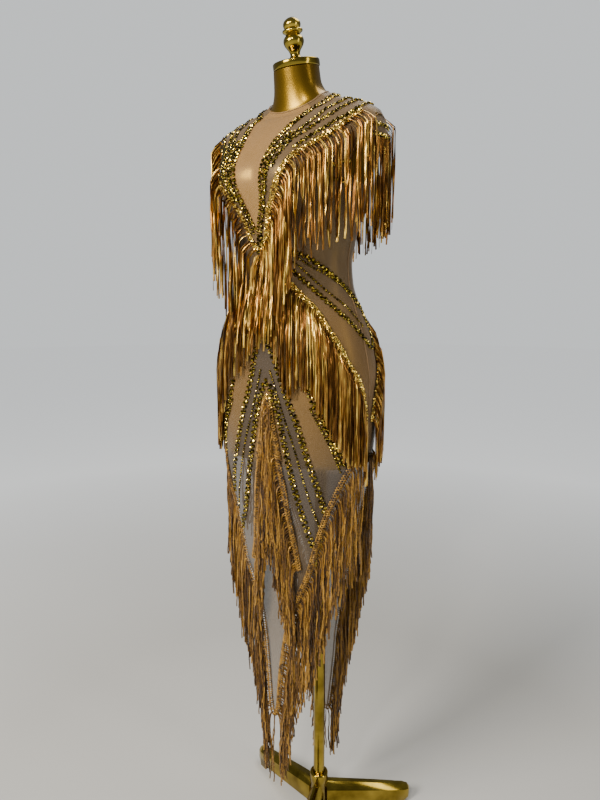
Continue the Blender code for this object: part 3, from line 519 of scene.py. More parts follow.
@cache
def hem_level(angle):
    """The hem's height at an angle, with the same slip as the trim."""
    folded = (angle + 180) % 360 - 180
    rows = HEM_FRONT if abs(folded) <= 90 else HEM_BACK
    side = folded if abs(folded) <= 90 else math.copysign(180, folded) - folded
    own = side
    for _ in range(6):
        level = read_table(rows, abs(own))[0]
        own = side - slip(side, level)
    return read_table(rows, abs(own))[0]


def by_level(line):
    """A line in front as a table of its angle at each level, upwards."""
    return sorted((level, angle) for angle, level in line if angle < PLUNGE_WIDEST)


def density_and_shade(angle, level):
    """How dense the net looks, partly painted shade that darkens it at the waist, upper body and below
    the form: 0 in the plunge and 1 between the skirt's pointed bands.
    """
    own = abs(angle - slip(angle, level))
    if level > PLUNGE_LINE[-1][1] and own < read_table(by_level(PLUNGE_LINE), level)[0]:
        return 0.0
    if read_table(by_level(SKIRT_INNER), level)[0] < own < read_table(by_level(SKIRT_OUTER), level)[0]:
        return 1.0
    return read_table(NET_DENSITY_AND_SHADE, level)[0]


def mark(piece, name, values):
    """Keeps one value a point on a piece, for its material."""
    colours = piece.data.color_attributes.new(name, "FLOAT_COLOR", "POINT")
    colours.data.foreach_set("color", [part for value in values for part in (value, 0.0, 0.0, 1.0)])


def marked(place, name):
    """The value that mark keeps, in a material."""
    colour = place.node("ShaderNodeAttribute", {"attribute_name": name}, output="Color")
    return colour.node("ShaderNodeSeparateColor", {}, {"Color": colour}, "Red")


# The net's zone mark darkens its colour: a denser lining between the skirt's bands, a paler plunge, and
# painted shade at the waist, upper body and below the form.
nude_net, shader, place = new_finish(
    "nude_net", Roughness=0.55, Sheen_Weight=0.15, Specular_IOR_Level=0.3
)
weave = place.node("ShaderNodeTexVoronoi", {"feature": "DISTANCE_TO_EDGE"}, {
    "Vector": place, "Scale": 900
})
cords = place.node("ShaderNodeMapRange", {}, {
    "Value": weave, "From Min": 0.04, "From Max": 0.2, "To Min": 1.0, "To Max": 0.0
})
zone_and_shade = marked(place, "net_zone")
cloud = noise(place, 9, 3)
feed(
    shader,
    Base_Color=tones(
        zone_and_shade * 0.8 + cloud * 0.2, (0.12, (0.48, 0.275, 0.105)), (0.42, (0.2, 0.112, 0.036)),
        (0.66, (0.115, 0.078, 0.042)), (0.88, (0.056, 0.038, 0.022))
    ),
    Alpha=cords * 0.22 + zone_and_shade * 0.38 + 0.34,
    Normal=bump(weave, 0.2, 0.0004),
)


def in_armhole(angle, level):
    """Whether a net point lies in the open armhole."""
    aside = min(abs(angle - ARMHOLE_MIDDLE[0]), abs(angle + ARMHOLE_MIDDLE[0]))
    return (aside / ARMHOLE_REACH[0]) ** 2 + ((level - ARMHOLE_MIDDLE[1]) / ARMHOLE_REACH[1]) ** 2 < 1


def net_panel(name, first, last, node):
    """One net panel between two seams, from hem to neckline, with the armholes left open."""
    angles = list(range(first, last + 1, NET_COLUMN))
    shared = [level for level in levels if NET_JOIN < level < NET_TOP + 0.003]
    places = [
        (angle, hem_level(angle) + (shared[0] - hem_level(angle)) * r / LOWER_ROWS)
        for r in range(LOWER_ROWS)
        for angle in angles
    ]
    places += [(angle, level) for level in shared for angle in angles]
    points = [on_net(angle, level, -NET_INSIDE) for angle, level in places]
    faces = [
        face
        for face in grid_faces(len(angles), LOWER_ROWS + len(shared))
        if not any(in_armhole(*places[i]) for i in face)
    ]
    panel = piece_from(name, points, faces, nude_net)
    mark(panel, "net_zone", [density_and_shade(*place) for place in places])
    edit_only(panel)
    bpy.ops.mesh.delete_loose()
    bpy.ops.object.mode_set(mode="OBJECT")
    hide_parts(node)
    return panel


net_front = net_panel("net_front", -90, 90, "dress_front")
net_panel("net_back_left", 90, 180, "dress_back_left")
net_panel("net_back_right", -180, -90, "dress_back_right")


# Cap sleeves
# A short curved strip of the same net, sewn into the upper half of each armhole and
# standing off a little more towards its rim.
SLEEVE_FROM = 70.5
SLEEVE_TO = 109.5
SLEEVE_TOP = 1.4812
SLEEVE_DROP = 0.032
SLEEVE_FLARE = 0.0075
SLEEVE_ROWS = 10
SLEEVE_COLUMNS = 26


def along_sleeve(side, down, out, margin, steps):
    """Places along a cap sleeve: point, direction, outward and the side towards the rim.

    Down runs from 0 at the sleeve's seam to 1 at its rim."""
    level = SLEEVE_TOP - SLEEVE_DROP * down
    places = []
    for k in range(steps + 1):
        angle = side * (SLEEVE_FROM + margin + (SLEEVE_TO - SLEEVE_FROM - 2 * margin) * k / steps)
        away = outward(angle, level)
        point = skin(angle, level) + away * (NET_OUT + SLEEVE_FLARE * down**1.4 + out)
        places.append((point, Vector((0, side, 0)), away, Vector((0, 0, -1))))
    return places


for side, name in ((1, "left"), (-1, "right")):
    points = []
    for r in range(SLEEVE_ROWS + 1):
        places = along_sleeve(side, r / SLEEVE_ROWS, out=0.0, margin=0, steps=SLEEVE_COLUMNS)
        points += [place[0] for place in places]
    faces = grid_faces(SLEEVE_COLUMNS + 1, SLEEVE_ROWS + 1)
    if side > 0:
        faces = [tuple(reversed(face)) for face in faces]
    sleeve = piece_from(f"cap_sleeve_{name}", points, faces, nude_net)
    mark(sleeve, "net_zone", [SLEEVE_DENSITY_AND_SHADE] * len(points))
    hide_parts(f"sleeve_{name}")


# Stone bands
# Round faceted olive-gold stones sewn close together in single and double rows,
# with finer stones along the middle lines.
STONE_FACETS = 8
LARGE_STONE = 0.008
MIDDLE_STONE = 0.0066
SMALL_STONE = 0.005
STONE_GAP = 1.06
ZIGZAG_GAP = 0.58
STONE_LEAN = 0.24
# heights of girdle, crown and table, and widths of the last two, for a stone 1 wide
STONE_STEPS = (0.16, 0.16, 0.12)
STONE_WIDTHS = (0.78, 0.6)
STONE_VARIES = (0.9, 1.06)
ROW_APART = 0.0033
SHOULDER_ZIGZAG = 0.0012
SKIRT_ZIGZAG = 0.0031
SLEEVE_ROWS_DOWN = (0.45, 0.86)
CENTRE_LINE = [(2.2, 1.293), (0, 1.27), (0, 1.235), (0, 1.2)]
CENTRE_TAIL = [(0, 1.195), (0, 1.16), (0, 1.125)]
YOKE_LINE = [
    (19, 1.428), (28, 1.456), (37, 1.483), (52, 1.503), (72, 1.511), (92, 1.513), (118, 1.511),
]
YOKE_SECOND = [
    (20.5, 1.442), (23, 1.458), (27.5, 1.475), (32.2, 1.49), (43, 1.508), (60, 1.516), (88, 1.519),
    (116, 1.518),
]
BEAD_LINE = [
    (29.5, 1.425), (34.5, 1.447), (38.5, 1.46), (46, 1.476), (54.6, 1.486), (61.3, 1.494),
    (71, 1.5), (88, 1.504), (102, 1.502),
]
LEAF_LINE = [
    (23.5, 1.271), (29, 1.267), (45, 1.253), (63, 1.23), (80, 1.206), (95, 1.182), (109, 1.152),
    (113, 1.122), (107, 1.098), (99, 1.096), (90, 1.113), (78, 1.14), (64, 1.167), (54, 1.188),
    (42, 1.212), (30, 1.233), (24, 1.24),
]
LEAF_MIDDLE = [(27, 1.262), (36, 1.253), (49.7, 1.236), (66.4, 1.219), (83.3, 1.197), (96, 1.166)]
LEAF_LOWER = [(26, 1.25), (35, 1.242), (48, 1.219), (64, 1.19), (80, 1.164), (94, 1.133)]
SKIRT_MIDDLE = [
    (2.8, 1.056), (5.2, 1.03), (8.4, 0.998), (12.6, 0.96), (18, 0.92), (23.5, 0.875), (29, 0.836),
    (35.5, 0.798), (43.5, 0.76),
]
THIGH_LINE = [(28.5, 1.031), (34.5, 0.995), (43, 0.957), (52.3, 0.92), (62.5, 0.882)]
THIGH_SECOND = [(30.8, 0.992), (35.8, 0.968), (44.2, 0.934), (51.7, 0.904), (59.8, 0.871)]
BUST_ROWS = [
    [(31, 1.399), (36.6, 1.381), (41, 1.389), (46, 1.397), (54, 1.401), (62, 1.403), (70, 1.41)],
    [(54, 1.389), (58, 1.379), (64, 1.38), (73, 1.377)],
    [(35, 1.36), (32.5, 1.344), (36.5, 1.329)],
]
INNER_BUST_ROWS = [
    [(19, 1.462), (17.8, 1.432), (17.4, 1.405), (15.6, 1.38), (13, 1.358)],
    [(24, 1.44), (22, 1.418), (20.6, 1.395)],
]
FULL_BUST_ROWS = [
    [(19.5, 1.465), (18, 1.432), (17.4, 1.405), (15.8, 1.378), (12.8, 1.352)],
    [(27, 1.462), (23.5, 1.435), (22, 1.405), (19.5, 1.378), (16.5, 1.354)],
    [(36, 1.462), (29.5, 1.438), (26.5, 1.411), (22.5, 1.386)],
    [(46, 1.462), (38, 1.446), (31.5, 1.42)],
]


def other_side(line):
    """The same line on the wearer's right."""
    return [(-angle, level) for angle, level in line]


def mirrored(line):
    """A line from the wearer's right side to the left, through the middle of the front."""
    return [(-angle, level) for angle, level in reversed(line) if angle > 0.5] + list(line)


def across_back(line):
    """A line from the wearer's left side to the right, through the middle of the back."""
    left = [(180 - angle, level) for angle, level in reversed(line)]
    return left + [(180 + angle, level) for angle, level in line if angle > 0.5]


def along_line(line, step=0.001, slipped=True):
    """Close places along a smooth line: point, direction, outward and the side towards the hem."""
    if slipped:
        line = [(angle + slip(angle, level), level) for angle, level in line]
    places = []
    for i in range(len(line) - 1):
        p0, p1, p2, p3 = line[max(i - 1, 0)], line[i], line[i + 1], line[min(i + 2, len(line) - 1)]
        count = max(2, round((skin(*p2) - skin(*p1)).length / step))
        for k in range(count + (i == len(line) - 2)):
            t = k / count
            places.append(tuple(
                0.5 * (
                    2 * b + (c - a) * t + (2 * a - 5 * b + 4 * c - d) * t**2
                    + (3 * b - a - 3 * c + d) * t**3
                )
                for a, b, c, d in zip(p0, p1, p2, p3)
            ))
    centres = [on_net(*place) for place in places]
    result = []
    for i, (angle, level) in enumerate(places):
        along = (centres[min(i + 1, len(centres) - 1)] - centres[max(i - 1, 0)]).normalized()
        away = outward(round(angle, 2), round(level, 4))
        result.append((centres[i], along, away, along.cross(away).normalized()))
    return result


def stone_shape():
    """One faceted stone of unit width: a flat table, a crown of kites and a girdle."""
    girdle, crown, table = STONE_STEPS
    crown_width, table_width = STONE_WIDTHS
    bpy.ops.mesh.primitive_cylinder_add(
        vertices=STONE_FACETS, radius=0.5, depth=girdle, end_fill_type="NGON",
        location=(0, 0, girdle / 2)
    )
    stone = bpy.context.object
    bpy.ops.object.mode_set(mode="EDIT")
    bpy.ops.mesh.select_all(action="DESELECT")
    bpy.ops.object.mode_set(mode="OBJECT")
    for face in stone.data.polygons:
        face.select = face.normal.z > 0.9
    bpy.ops.object.mode_set(mode="EDIT")
    bpy.ops.mesh.extrude_region_move(TRANSFORM_OT_translate={"value": (0, 0, crown)})
    bpy.ops.transform.resize(value=(crown_width, crown_width, 1))
    bpy.ops.transform.rotate(value=math.pi / STONE_FACETS, orient_axis="Z", center_override=(0, 0, 0))
    bpy.ops.mesh.extrude_region_move(TRANSFORM_OT_translate={"value": (0, 0, table)})
    bpy.ops.transform.resize(value=(table_width, table_width, 1))
    bpy.ops.mesh.select_all(action="SELECT")
    bpy.ops.mesh.quads_convert_to_tris()
    bpy.ops.mesh.normals_make_consistent(inside=False)
    bpy.ops.object.mode_set(mode="OBJECT")
    points = [vertex.co.copy() for vertex in stone.data.vertices]
    faces = [tuple(face.vertices) for face in stone.data.polygons]
    bpy.data.objects.remove(stone)
    return points, faces


stone_points, stone_faces = stone_shape()
olive_gold, shader, place = new_finish(
    "olive_gold_stone", Metallic=1.0, Roughness=0.1, Coat_Weight=0.1
)
# Each small cell takes a random tone from near black to bright gold: painted dark reflections and
# glints on the facets, over the stones' olive-gold.
facet_glints_and_shade = place.node("ShaderNodeTexVoronoi", {}, {"Vector": place, "Scale": 380}, "Color")
feed(shader, Base_Color=tones(
    facet_glints_and_shade, (0.26, (0.02, 0.013, 0.001)), (0.48, (0.11, 0.074, 0.004)),
    (0.66, (0.32, 0.225, 0.016)), (0.84, (0.95, 0.7, 0.14))
))


def set_stones(points, faces, places, size, sideways=0.0, zigzag=0.0):
    """Adds stones along a row, each turned at random on its thread, in zigzag where asked."""
    apart = size * STONE_GAP * (ZIGZAG_GAP if zigzag else 1.0)
    walked = apart / 2
    chance = random.Random(len(points) + 7)
    last = places[0][0]
    swing = zigzag
    for centre, along, away, low in places[1:]:
        walked += (centre - last).length
        last = centre
        if walked < apart:
            continue
        walked = 0.0
        swing = -swing
        spin = chance.uniform(0, math.tau)
        lean = Vector((
            chance.uniform(-STONE_LEAN, STONE_LEAN), chance.uniform(-STONE_LEAN, STONE_LEAN), 1
        )).normalized()
        up = (along * lean.x + low * lean.y + away * lean.z).normalized()
        east = (along * math.cos(spin) + low * math.sin(spin)).cross(up).normalized()
        north = up.cross(east)
        own = size * chance.uniform(*STONE_VARIES)
        first = len(points)
        seat = centre + low * (sideways + swing)
        points += [seat + (east * p.x + north * p.y + up * p.z) * own for p in stone_points]
        faces += [tuple(first + i for i in face) for face in stone_faces]


def stone_band(name, rows, node=None):
    """A band of rows of (places, size, sideways, zigzag), in place of a band's solid."""
    points, faces = [], []
    for row in rows:
        set_stones(points, faces, *row)
    band = piece_from(name, points, faces, olive_gold, smooth=False)
    if node:
        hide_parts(node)


for side, side_name, side_of in ((1, "left", list), (-1, "right", other_side)):
    plunge = along_line(side_of(PLUNGE_LINE + CENTRE_LINE if side > 0 else PLUNGE_LINE))
    stone_band(f"plunge_stones_{side_name}", [
        (plunge, LARGE_STONE, -ROW_APART), (plunge, MIDDLE_STONE, ROW_APART + 0.001),
    ], f"plunge_band_{side_name}")
    for band_name, line, size, zigzag, node in (
        ("yoke_stones", YOKE_LINE, MIDDLE_STONE, 0.0018, "yoke_band"),
        ("leaf_stones", LEAF_LINE, LARGE_STONE, 0.0016, "waist_leaf"),
        ("thigh_stones", THIGH_LINE, LARGE_STONE, 0.0028, "thigh_band"),
    ):
        row = (along_line(side_of(line)), size, 0.0, zigzag)
        stone_band(f"{band_name}_{side_name}", [row], f"{node}_{side_name}")
    fine_rows = [along_line(side_of(line)) for line in (LEAF_MIDDLE, LEAF_LOWER, THIGH_SECOND)]
    stone_band(f"fine_stones_{side_name}", [(row, SMALL_STONE) for row in fine_rows])
    lines = [YOKE_SECOND, BEAD_LINE, *BUST_ROWS, *(INNER_BUST_ROWS if side > 0 else FULL_BUST_ROWS)]
    rows = [along_line(side_of(line)) for line in lines]
    rows += [along_sleeve(side, down, out=0.0004, margin=2, steps=90) for down in SLEEVE_ROWS_DOWN]
    rows = [(row, MIDDLE_STONE, 0.0, SHOULDER_ZIGZAG) for row in rows]
    stone_band(f"shoulder_stones_{side_name}", rows)
for line_name, line in (("outer", SKIRT_OUTER), ("inner", SKIRT_INNER)):
    row = (along_line(mirrored(line)), LARGE_STONE, 0.0, SKIRT_ZIGZAG)
    stone_band(f"skirt_stones_{line_name}", [row], f"skirt_band_{line_name}")
stone_band("skirt_stones_fine", [
    (along_line(SKIRT_MIDDLE), SMALL_STONE), (along_line(other_side(SKIRT_MIDDLE)), SMALL_STONE),
    (along_line(CENTRE_TAIL), MIDDLE_STONE),
])


# Fringe heads
# The upper fringes hang from a crumpled tape of gold sequins. The lower ones hang
# from a chain braid sewn along the hem.
YOKE_HEAD = [
    (2, 1.27), (5.5, 1.278), (9, 1.29), (10.8, 1.31), (14.5, 1.335), (20, 1.357), (27, 1.384),
    (33.5, 1.413), (44, 1.45), (55.5, 1.476), (66, 1.49),
]
BACK_YOKE_HEAD = [(0, 1.43), (25, 1.44), (45, 1.465), (64, 1.488)]
CENTRE_HEADS = [[(0, 1.262), (7, 1.256)], [(0, 1.239), (9, 1.233)], [(0, 1.212), (10, 1.206)]]
HIP_HEAD = [
    (0, 1.18), (10, 1.192), (22, 1.206), (30, 1.206), (36, 1.193), (42.5, 1.176), (48.8, 1.156),
    (54.5, 1.122), (59.8, 1.098), (64.5, 1.074), (71, 1.05), (78, 1.026), (83, 0.995), (85.5, 0.96),
]
BACK_HIP_HEAD = [
    (0, 1.18), (12, 1.19), (24, 1.194), (41, 1.178), (54, 1.146), (62, 1.115), (69, 1.07),
    (77, 1.03), (82, 0.995), (85, 0.96),
]
APEX_HEAD = [
    (0, 0.96), (2, 0.954), (3.2, 0.935), (5.6, 0.9), (8.4, 0.86), (11, 0.825), (14, 0.776),
    (18.5, 0.723), (24, 0.673),
]
APEX_TUFT = [(0, 1.006), (1.6, 0.996), (2.4, 0.98)]
APEX_EDGE = [(0, 1), (2, 0.988), (3, 0.96), (5.2, 0.925), (7.4, 0.888)]
HEM_INSET = 0.006
TAPE_STEP = 0.0023
SEQUIN = 0.0047
SEQUIN_CORNERS = 6
SEQUIN_DISH = 0.28
SEQUIN_LEAN = 0.55
SEQUIN_VARIES = (0.42, 0.56)
SEQUIN_SHIFT = 0.0008
SEQUIN_OUT = (0.001, 0.0026)
SEQUIN_ROWS = (-0.0034, 0.0, 0.0034)
BRAID_CORD = 0.0016
BRAID_SWING = 0.0052
BRAID_TURN = 0.015
BRAID_SIDES = 5
BRAID_LIFT = 0.003
BRAID_STEP = 0.0018
BINDING_STEP = 0.004
BINDING = 0.0007
BINDING_ROUND = 1.04

sequin_gold, shader, place = new_finish("sequin_gold", Metallic=1.0, Roughness=0.16)
glint = noise(place, 260, 2)
feed(shader, Base_Color=tones(
    glint, (0.35, (0.3, 0.15, 0.025)), (0.54, (0.72, 0.47, 0.08)), (0.7, (0.92, 0.74, 0.2))
))
ochre_cord, shader, place = new_finish(
    "ochre_cord", Metallic=0.4, Roughness=0.42, Sheen_Weight=0.1
)
mottle = noise(place, 150, 3)
feed(
    shader,
    Base_Color=tones(mottle, (0.35, (0.04, 0.016, 0.002)), (0.65, (0.42, 0.215, 0.024))),
    Normal=bump(noise(place, 900, 1), 0.3, 0.0004),
)
nude_binding, shader, place = new_finish("nude_binding", Roughness=0.6, Specular_IOR_Level=0.3)
feed(shader, Base_Color=tones(
    noise(place, 500, 2), (0.35, (0.17, 0.1, 0.045)), (0.65, (0.28, 0.175, 0.085))
))


def hem_head(rows):
    """The fringe's head just above the hem, from the middle to the side."""
    return [(angle, level + HEM_INSET) for angle, level in rows if angle < 89]


def sequin_tape(name, line):
    """Overlapping little discs, tilted at random, along a fringe head."""
    chance = random.Random(len(line) + len(name))
    points, faces = [], []
    places = along_line(line, TAPE_STEP)
    for row in SEQUIN_ROWS:
        for centre, along, away, low in places:
            lean = along * chance.uniform(-SEQUIN_LEAN, SEQUIN_LEAN)
            up = (away + lean + low * chance.uniform(-SEQUIN_LEAN, SEQUIN_LEAN)).normalized()
            east = along.cross(up).normalized()
            north = up.cross(east)
            seat = centre + low * (row + chance.uniform(-SEQUIN_SHIFT, SEQUIN_SHIFT))
            seat += away * chance.uniform(*SEQUIN_OUT)
            first = len(points)
            size = SEQUIN * chance.uniform(*SEQUIN_VARIES)
            points.append(seat + up * size * SEQUIN_DISH)
            for i in range(SEQUIN_CORNERS):
                turn = math.tau * i / SEQUIN_CORNERS
                points.append(seat + (east * math.cos(turn) + north * math.sin(turn)) * size)
                faces.append((first, first + 1 + i, first + 1 + (i + 1) % SEQUIN_CORNERS))
            faces.append(tuple(first + SEQUIN_CORNERS - i for i in range(SEQUIN_CORNERS)))
    tape = piece_from(name, points, faces, sequin_gold, smooth=False)


def cord_along(points, faces, places, thickness, swing=0.0, phase=0.0, lift=0.0):
    """Adds one round cord along a line, swinging from side to side where asked."""
    walked = 0.0
    last = places[0][0]
    first = len(points)
    for centre, along, away, low in places:
        walked += (centre - last).length
        last = centre
        turn = math.tau * walked / BRAID_TURN + phase
        outwards = lift + 0.4 * swing * math.cos(2 * turn)
        middle = centre + low * swing * math.sin(turn) + away * outwards
        for i in range(BRAID_SIDES):
            side = math.tau * i / BRAID_SIDES
            points.append(middle + (low * math.cos(side) + away * math.sin(side)) * thickness)
    faces += grid_faces(BRAID_SIDES, len(places), True, first)
    faces.append(tuple(reversed(range(first, first + BRAID_SIDES))))
    faces.append(tuple(range(len(points) - BRAID_SIDES, len(points))))


def chain_braid(name, line):
    """Three cords that are plaited into a chain along a fringe head."""
    points, faces = [], []
    places = along_line(line, BRAID_STEP)
    for strand in range(3):
        cord_along(points, faces, places, BRAID_CORD, BRAID_SWING, math.tau * strand / 3, BRAID_LIFT)
    braid = piece_from(name, points, faces, ochre_cord)


def binding(name, line):
    """A fine stitched roll along a seam or an edge of the net, in the dress's own angles."""
    points, faces = [], []
    cord_along(points, faces, along_line(line, BINDING_STEP, slipped=False), BINDING)
    roll = piece_from(name, points, faces, nude_binding)


def seam(angle, top, steps):
    """A straight line up from the hem."""
    hem = hem_level(angle)
    return [(angle, hem + (top - hem) * k / steps) for k in range(steps + 1)]


binding("neck_binding", [(angle, NET_TOP) for angle in range(-180, 181, 12)])
binding("centre_back_seam", seam(180, NET_TOP, 40))
armhole = []
for k in range(33):
    turn = math.tau * k / 32
    armhole.append((
        ARMHOLE_MIDDLE[0] + BINDING_ROUND * ARMHOLE_REACH[0] * math.cos(turn),
        ARMHOLE_MIDDLE[1] + BINDING_ROUND * ARMHOLE_REACH[1] * math.sin(turn),
    ))
for name, side_of in (("left", list), ("right", other_side)):
    binding(f"side_seam_{name}", side_of(seam(90, ARMHOLE_MIDDLE[1] - ARMHOLE_REACH[1], 20)))
    binding(f"armhole_binding_{name}", side_of(armhole))

hem_front_head = mirrored(hem_head(HEM_FRONT))
hem_back_head = across_back(hem_head(HEM_BACK))
sequin_tape("yoke_tape_left", YOKE_HEAD)
sequin_tape("yoke_tape_right", other_side(YOKE_HEAD))
sequin_tape("back_yoke_tape", across_back(BACK_YOKE_HEAD))
sequin_tape("hip_tape_front", mirrored(HIP_HEAD))
sequin_tape("hip_tape_back", across_back(BACK_HIP_HEAD))
sequin_tape("apex_tape", mirrored(APEX_TUFT))
chain_braid("hem_braid_front", hem_front_head)
chain_braid("hem_braid_back", hem_back_head)
chain_braid("apex_braid", mirrored(APEX_HEAD))
chain_braid("apex_edge_braid", mirrored(APEX_EDGE))


# Fringes
# Flat foil ribbons a few millimetres wide hang from the yoke, the hips and the sleeves,
# and crinkled ochre cords from the pointed hems and the inner skirt. Each strand leaves
# its head square to it, bends over and falls.
YOKE_PITCH = 0.0046
CENTRE_PITCH = 0.004
SLEEVE_PITCH = 0.0034
PITCH_VARIES = (0.8, 1.2)
WIDTH_VARIES = (0.75, 1.2)
LONGEST = 1.05
LAYER_VARIES = 0.0012
TIER_APART = 0.0035
ROOT_DOWN = 0.002
ROOT_OUT = 0.0012
ROOT_APART = 0.0016
SWAY = 0.0045
WAVE = 0.0014
WAVE_RATE = 36
CRINKLE_LENGTH = 0.026
PUFF = 0.001
PUFF_RATE = 31
LIFT_START = 0.3
LIFT_OVER = 0.03
# level of the head, or for the hips its direction, and length of the strand
YOKE_LENGTHS = [(1.25, 0.15), (1.28, 0.19), (1.36, 0.215), (1.42, 0.17), (1.5, 0.205)]
CENTRE_LENGTHS = [(1.2, 0.085), (1.24, 0.115), (1.27, 0.145)]
HIP_LENGTHS = [
    (-180, 0.2), (-115, 0.21), (-103, 0.165), (-95, 0.12), (-87, 0.12), (-80, 0.15), (-74, 0.185),
    (-66, 0.205), (-57, 0.218), (-48, 0.2), (-40, 0.168), (-30, 0.165), (-20, 0.14), (-13, 0.11),
    (-8, 0.09), (0, 0.08), (8, 0.086), (13, 0.105), (20, 0.158), (30, 0.196), (36, 0.195),
    (41, 0.16), (48, 0.154), (57, 0.176), (66, 0.184), (74, 0.18), (80, 0.155), (87, 0.12),
    (95, 0.12), (103, 0.165), (115, 0.21), (180, 0.2),
]
HEM_LENGTHS = [(0.2, 0.11), (0.336, 0.165), (0.6, 0.225), (0.9, 0.225)]
APEX_LENGTHS = [(0.6, 0.2), (1, 0.225)]
TUFT_LENGTHS = [(0.88, 0.13), (1.02, 0.175)]
SLEEVE_LENGTHS = [(1.4, 0.155), (1.5, 0.155)]
HEM_LAYER = 0.0055
APEX_LAYER = 0.009
HIP_LAYER = 0.012
YOKE_LAYER = 0.0165
CENTRE_LAYER = 0.015
SLEEVE_LAYER = 0.0165
CLUMP_WIDTH = 0.017
RING_STEP = 3
GIRTH_STEP = 0.01
GIRTH_FROM = 0.05
# sizes of a strand, of its steps and its bend, and how loose, gathered and uneven it is
YOKE_RIBBON = {
    "width": 0.0033, "depth": 0.0006, "step": 0.011, "bend": 0.032, "loose": 1.0, "clump": 0.0022,
    "crinkle": 0.0, "shortest": 0.84, "facing": 1.0, "twist": 13.0,
}
HIP_RIBBON = {
    **YOKE_RIBBON, "width": 0.0027, "bend": 0.01, "loose": 0.35, "clump": 0.001, "shortest": 0.93,
    "twist": 9.0,
}
CORD = {
    "width": 0.0031, "depth": 0.0019, "step": 0.007, "bend": 0.022, "loose": 1.5, "clump": 0.0046,
    "crinkle": 0.0008, "shortest": 0.78, "facing": 3.1, "twist": 30.0,
}
TUFT_CORD = {**CORD, "width": 0.0022, "clump": 0.0018}
SLEEVE_RIBBON = {**YOKE_RIBBON, "clump": 0.004}

girths = {}
for index in range(int((1.56 - GIRTH_FROM) / GIRTH_STEP) + 1):
    level = max(SECTIONS[0][0], GIRTH_FROM + GIRTH_STEP * index)
    ring = []
    for angle in range(-180, 181, RING_STEP):
        point = skin(angle, round(level, 4)) - Vector((BODY_X, BODY_Y, 0))
        ring.append((math.degrees(math.atan2(point.x, -point.y)), math.hypot(point.x, point.y)))
    ring[0] = (-180, ring[0][1])
    ring[-1] = (180, ring[-1][1])
    girths[index] = ring


def girth_radius(bearing, height):
    """How far the form or the net stands from the body's axis in a direction."""
    bearing = (bearing + 180) % 360 - 180
    index = min(max(int((height - GIRTH_FROM) / GIRTH_STEP), 0), len(girths) - 1)
    ring = girths[index]
    high = bisect_right(ring, bearing, 1, len(ring) - 1, key=lambda spot: spot[0])
    (low_bearing, low_radius), (high_bearing, high_radius) = ring[high - 1], ring[high]
    share = (bearing - low_bearing) / max(1e-6, high_bearing - low_bearing)
    return low_radius + (high_radius - low_radius) * share


foil_ribbon, shader, place = new_finish("foil_ribbon", Metallic=0.92)
own_tone = marked(place, "strand")
drawn_out = place.node("ShaderNodeVectorMath", {"operation": "MULTIPLY"}, {
    0: place, 1: (1, 1, 0.25)
})
# The colour runs from each strand's own copper-to-gold tone and a noise stretched along the strands;
# its near-black runs are painted shade. The same noise also crumples and roughens the foil.
crumple_and_shade = noise(drawn_out, 170, 2)
feed(
    shader,
    Base_Color=tones(
        own_tone * 0.45 + crumple_and_shade * 0.55, (0.26, (0.045, 0.018, 0.003)),
        (0.44, (0.18, 0.074, 0.014)), (0.6, (0.42, 0.215, 0.044)), (0.78, (0.9, 0.62, 0.13))
    ),
    Roughness=crumple_and_shade * 0.26 + 0.21,
    Normal=bump(crumple_and_shade, 0.6, 0.0012),
)
cord_fringe, shader, place = new_finish("cord_fringe", Metallic=0.35, Sheen_Weight=0.1)
own_tone = marked(place, "strand")
twist = noise(place, 300, 2)
feed(
    shader,
    Base_Color=tones(
        own_tone * 0.45 + twist * 0.55, (0.28, (0.028, 0.01, 0.001)),
        (0.48, (0.14, 0.062, 0.005)), (0.68, (0.38, 0.195, 0.022))
    ),
    Roughness=twist * 0.25 + 0.32,
    Normal=bump(twist, 0.7, 0.0013),
)


def strand_path(root, low, length, layer, strand, walked, chance):
    """Places along a strand, with the directions away from the body and round it."""
    reach = math.hypot(root.x - BODY_X, root.y - BODY_Y)
    bearing = math.atan2(root.x - BODY_X, BODY_Y - root.y)
    sideways = low.dot(Vector((math.cos(bearing), math.sin(bearing), 0)))
    downward = max(0.2, -low.z)
    count = max(5, round(length / strand["step"]))
    sway = chance.uniform(-SWAY, SWAY) * strand["loose"]
    wobble = chance.uniform(0.0, math.tau)
    gather = -strand["clump"] * math.sin(math.tau * walked / CLUMP_WIDTH)
    path = []
    for k in range(count + 1):
        share = k / count
        run = length * share
        bent = min(run, strand["bend"])
        spring = bent - bent * bent / (2 * strand["bend"])
        height = root.z - run + (1 - downward) * spring
        settled = min(1, share * 3)
        aside = sideways * spring + gather * min(1, share * 2) + sway * share**2
        aside += settled * strand["loose"] * WAVE * math.sin(wobble + run * WAVE_RATE)
        aside += settled * strand["crinkle"] * math.sin(wobble * 3 + math.tau * run / CRINKLE_LENGTH)
        here = bearing + aside / reach
        wanted = girth_radius(math.degrees(here), height)
        wanted += layer * min(1, LIFT_START + run / LIFT_OVER)
        reach = max(reach, wanted) if k else reach
        puff = settled * (PUFF * strand["loose"] + strand["crinkle"])
        puff *= math.sin(wobble * 2 + run * PUFF_RATE)
        outwards = Vector((math.sin(here), -math.cos(here), 0))
        centre = Vector((BODY_X, BODY_Y, height)) + outwards * (reach + puff)
        path.append((centre, outwards, Vector((math.cos(here), math.sin(here), 0))))
    return path


def height_of(root):
    """A root's height."""
    return root.z


def direction_of(root):
    """A root's direction round the body, in degrees."""
    return math.degrees(math.atan2(root.x - BODY_X, BODY_Y - root.y))


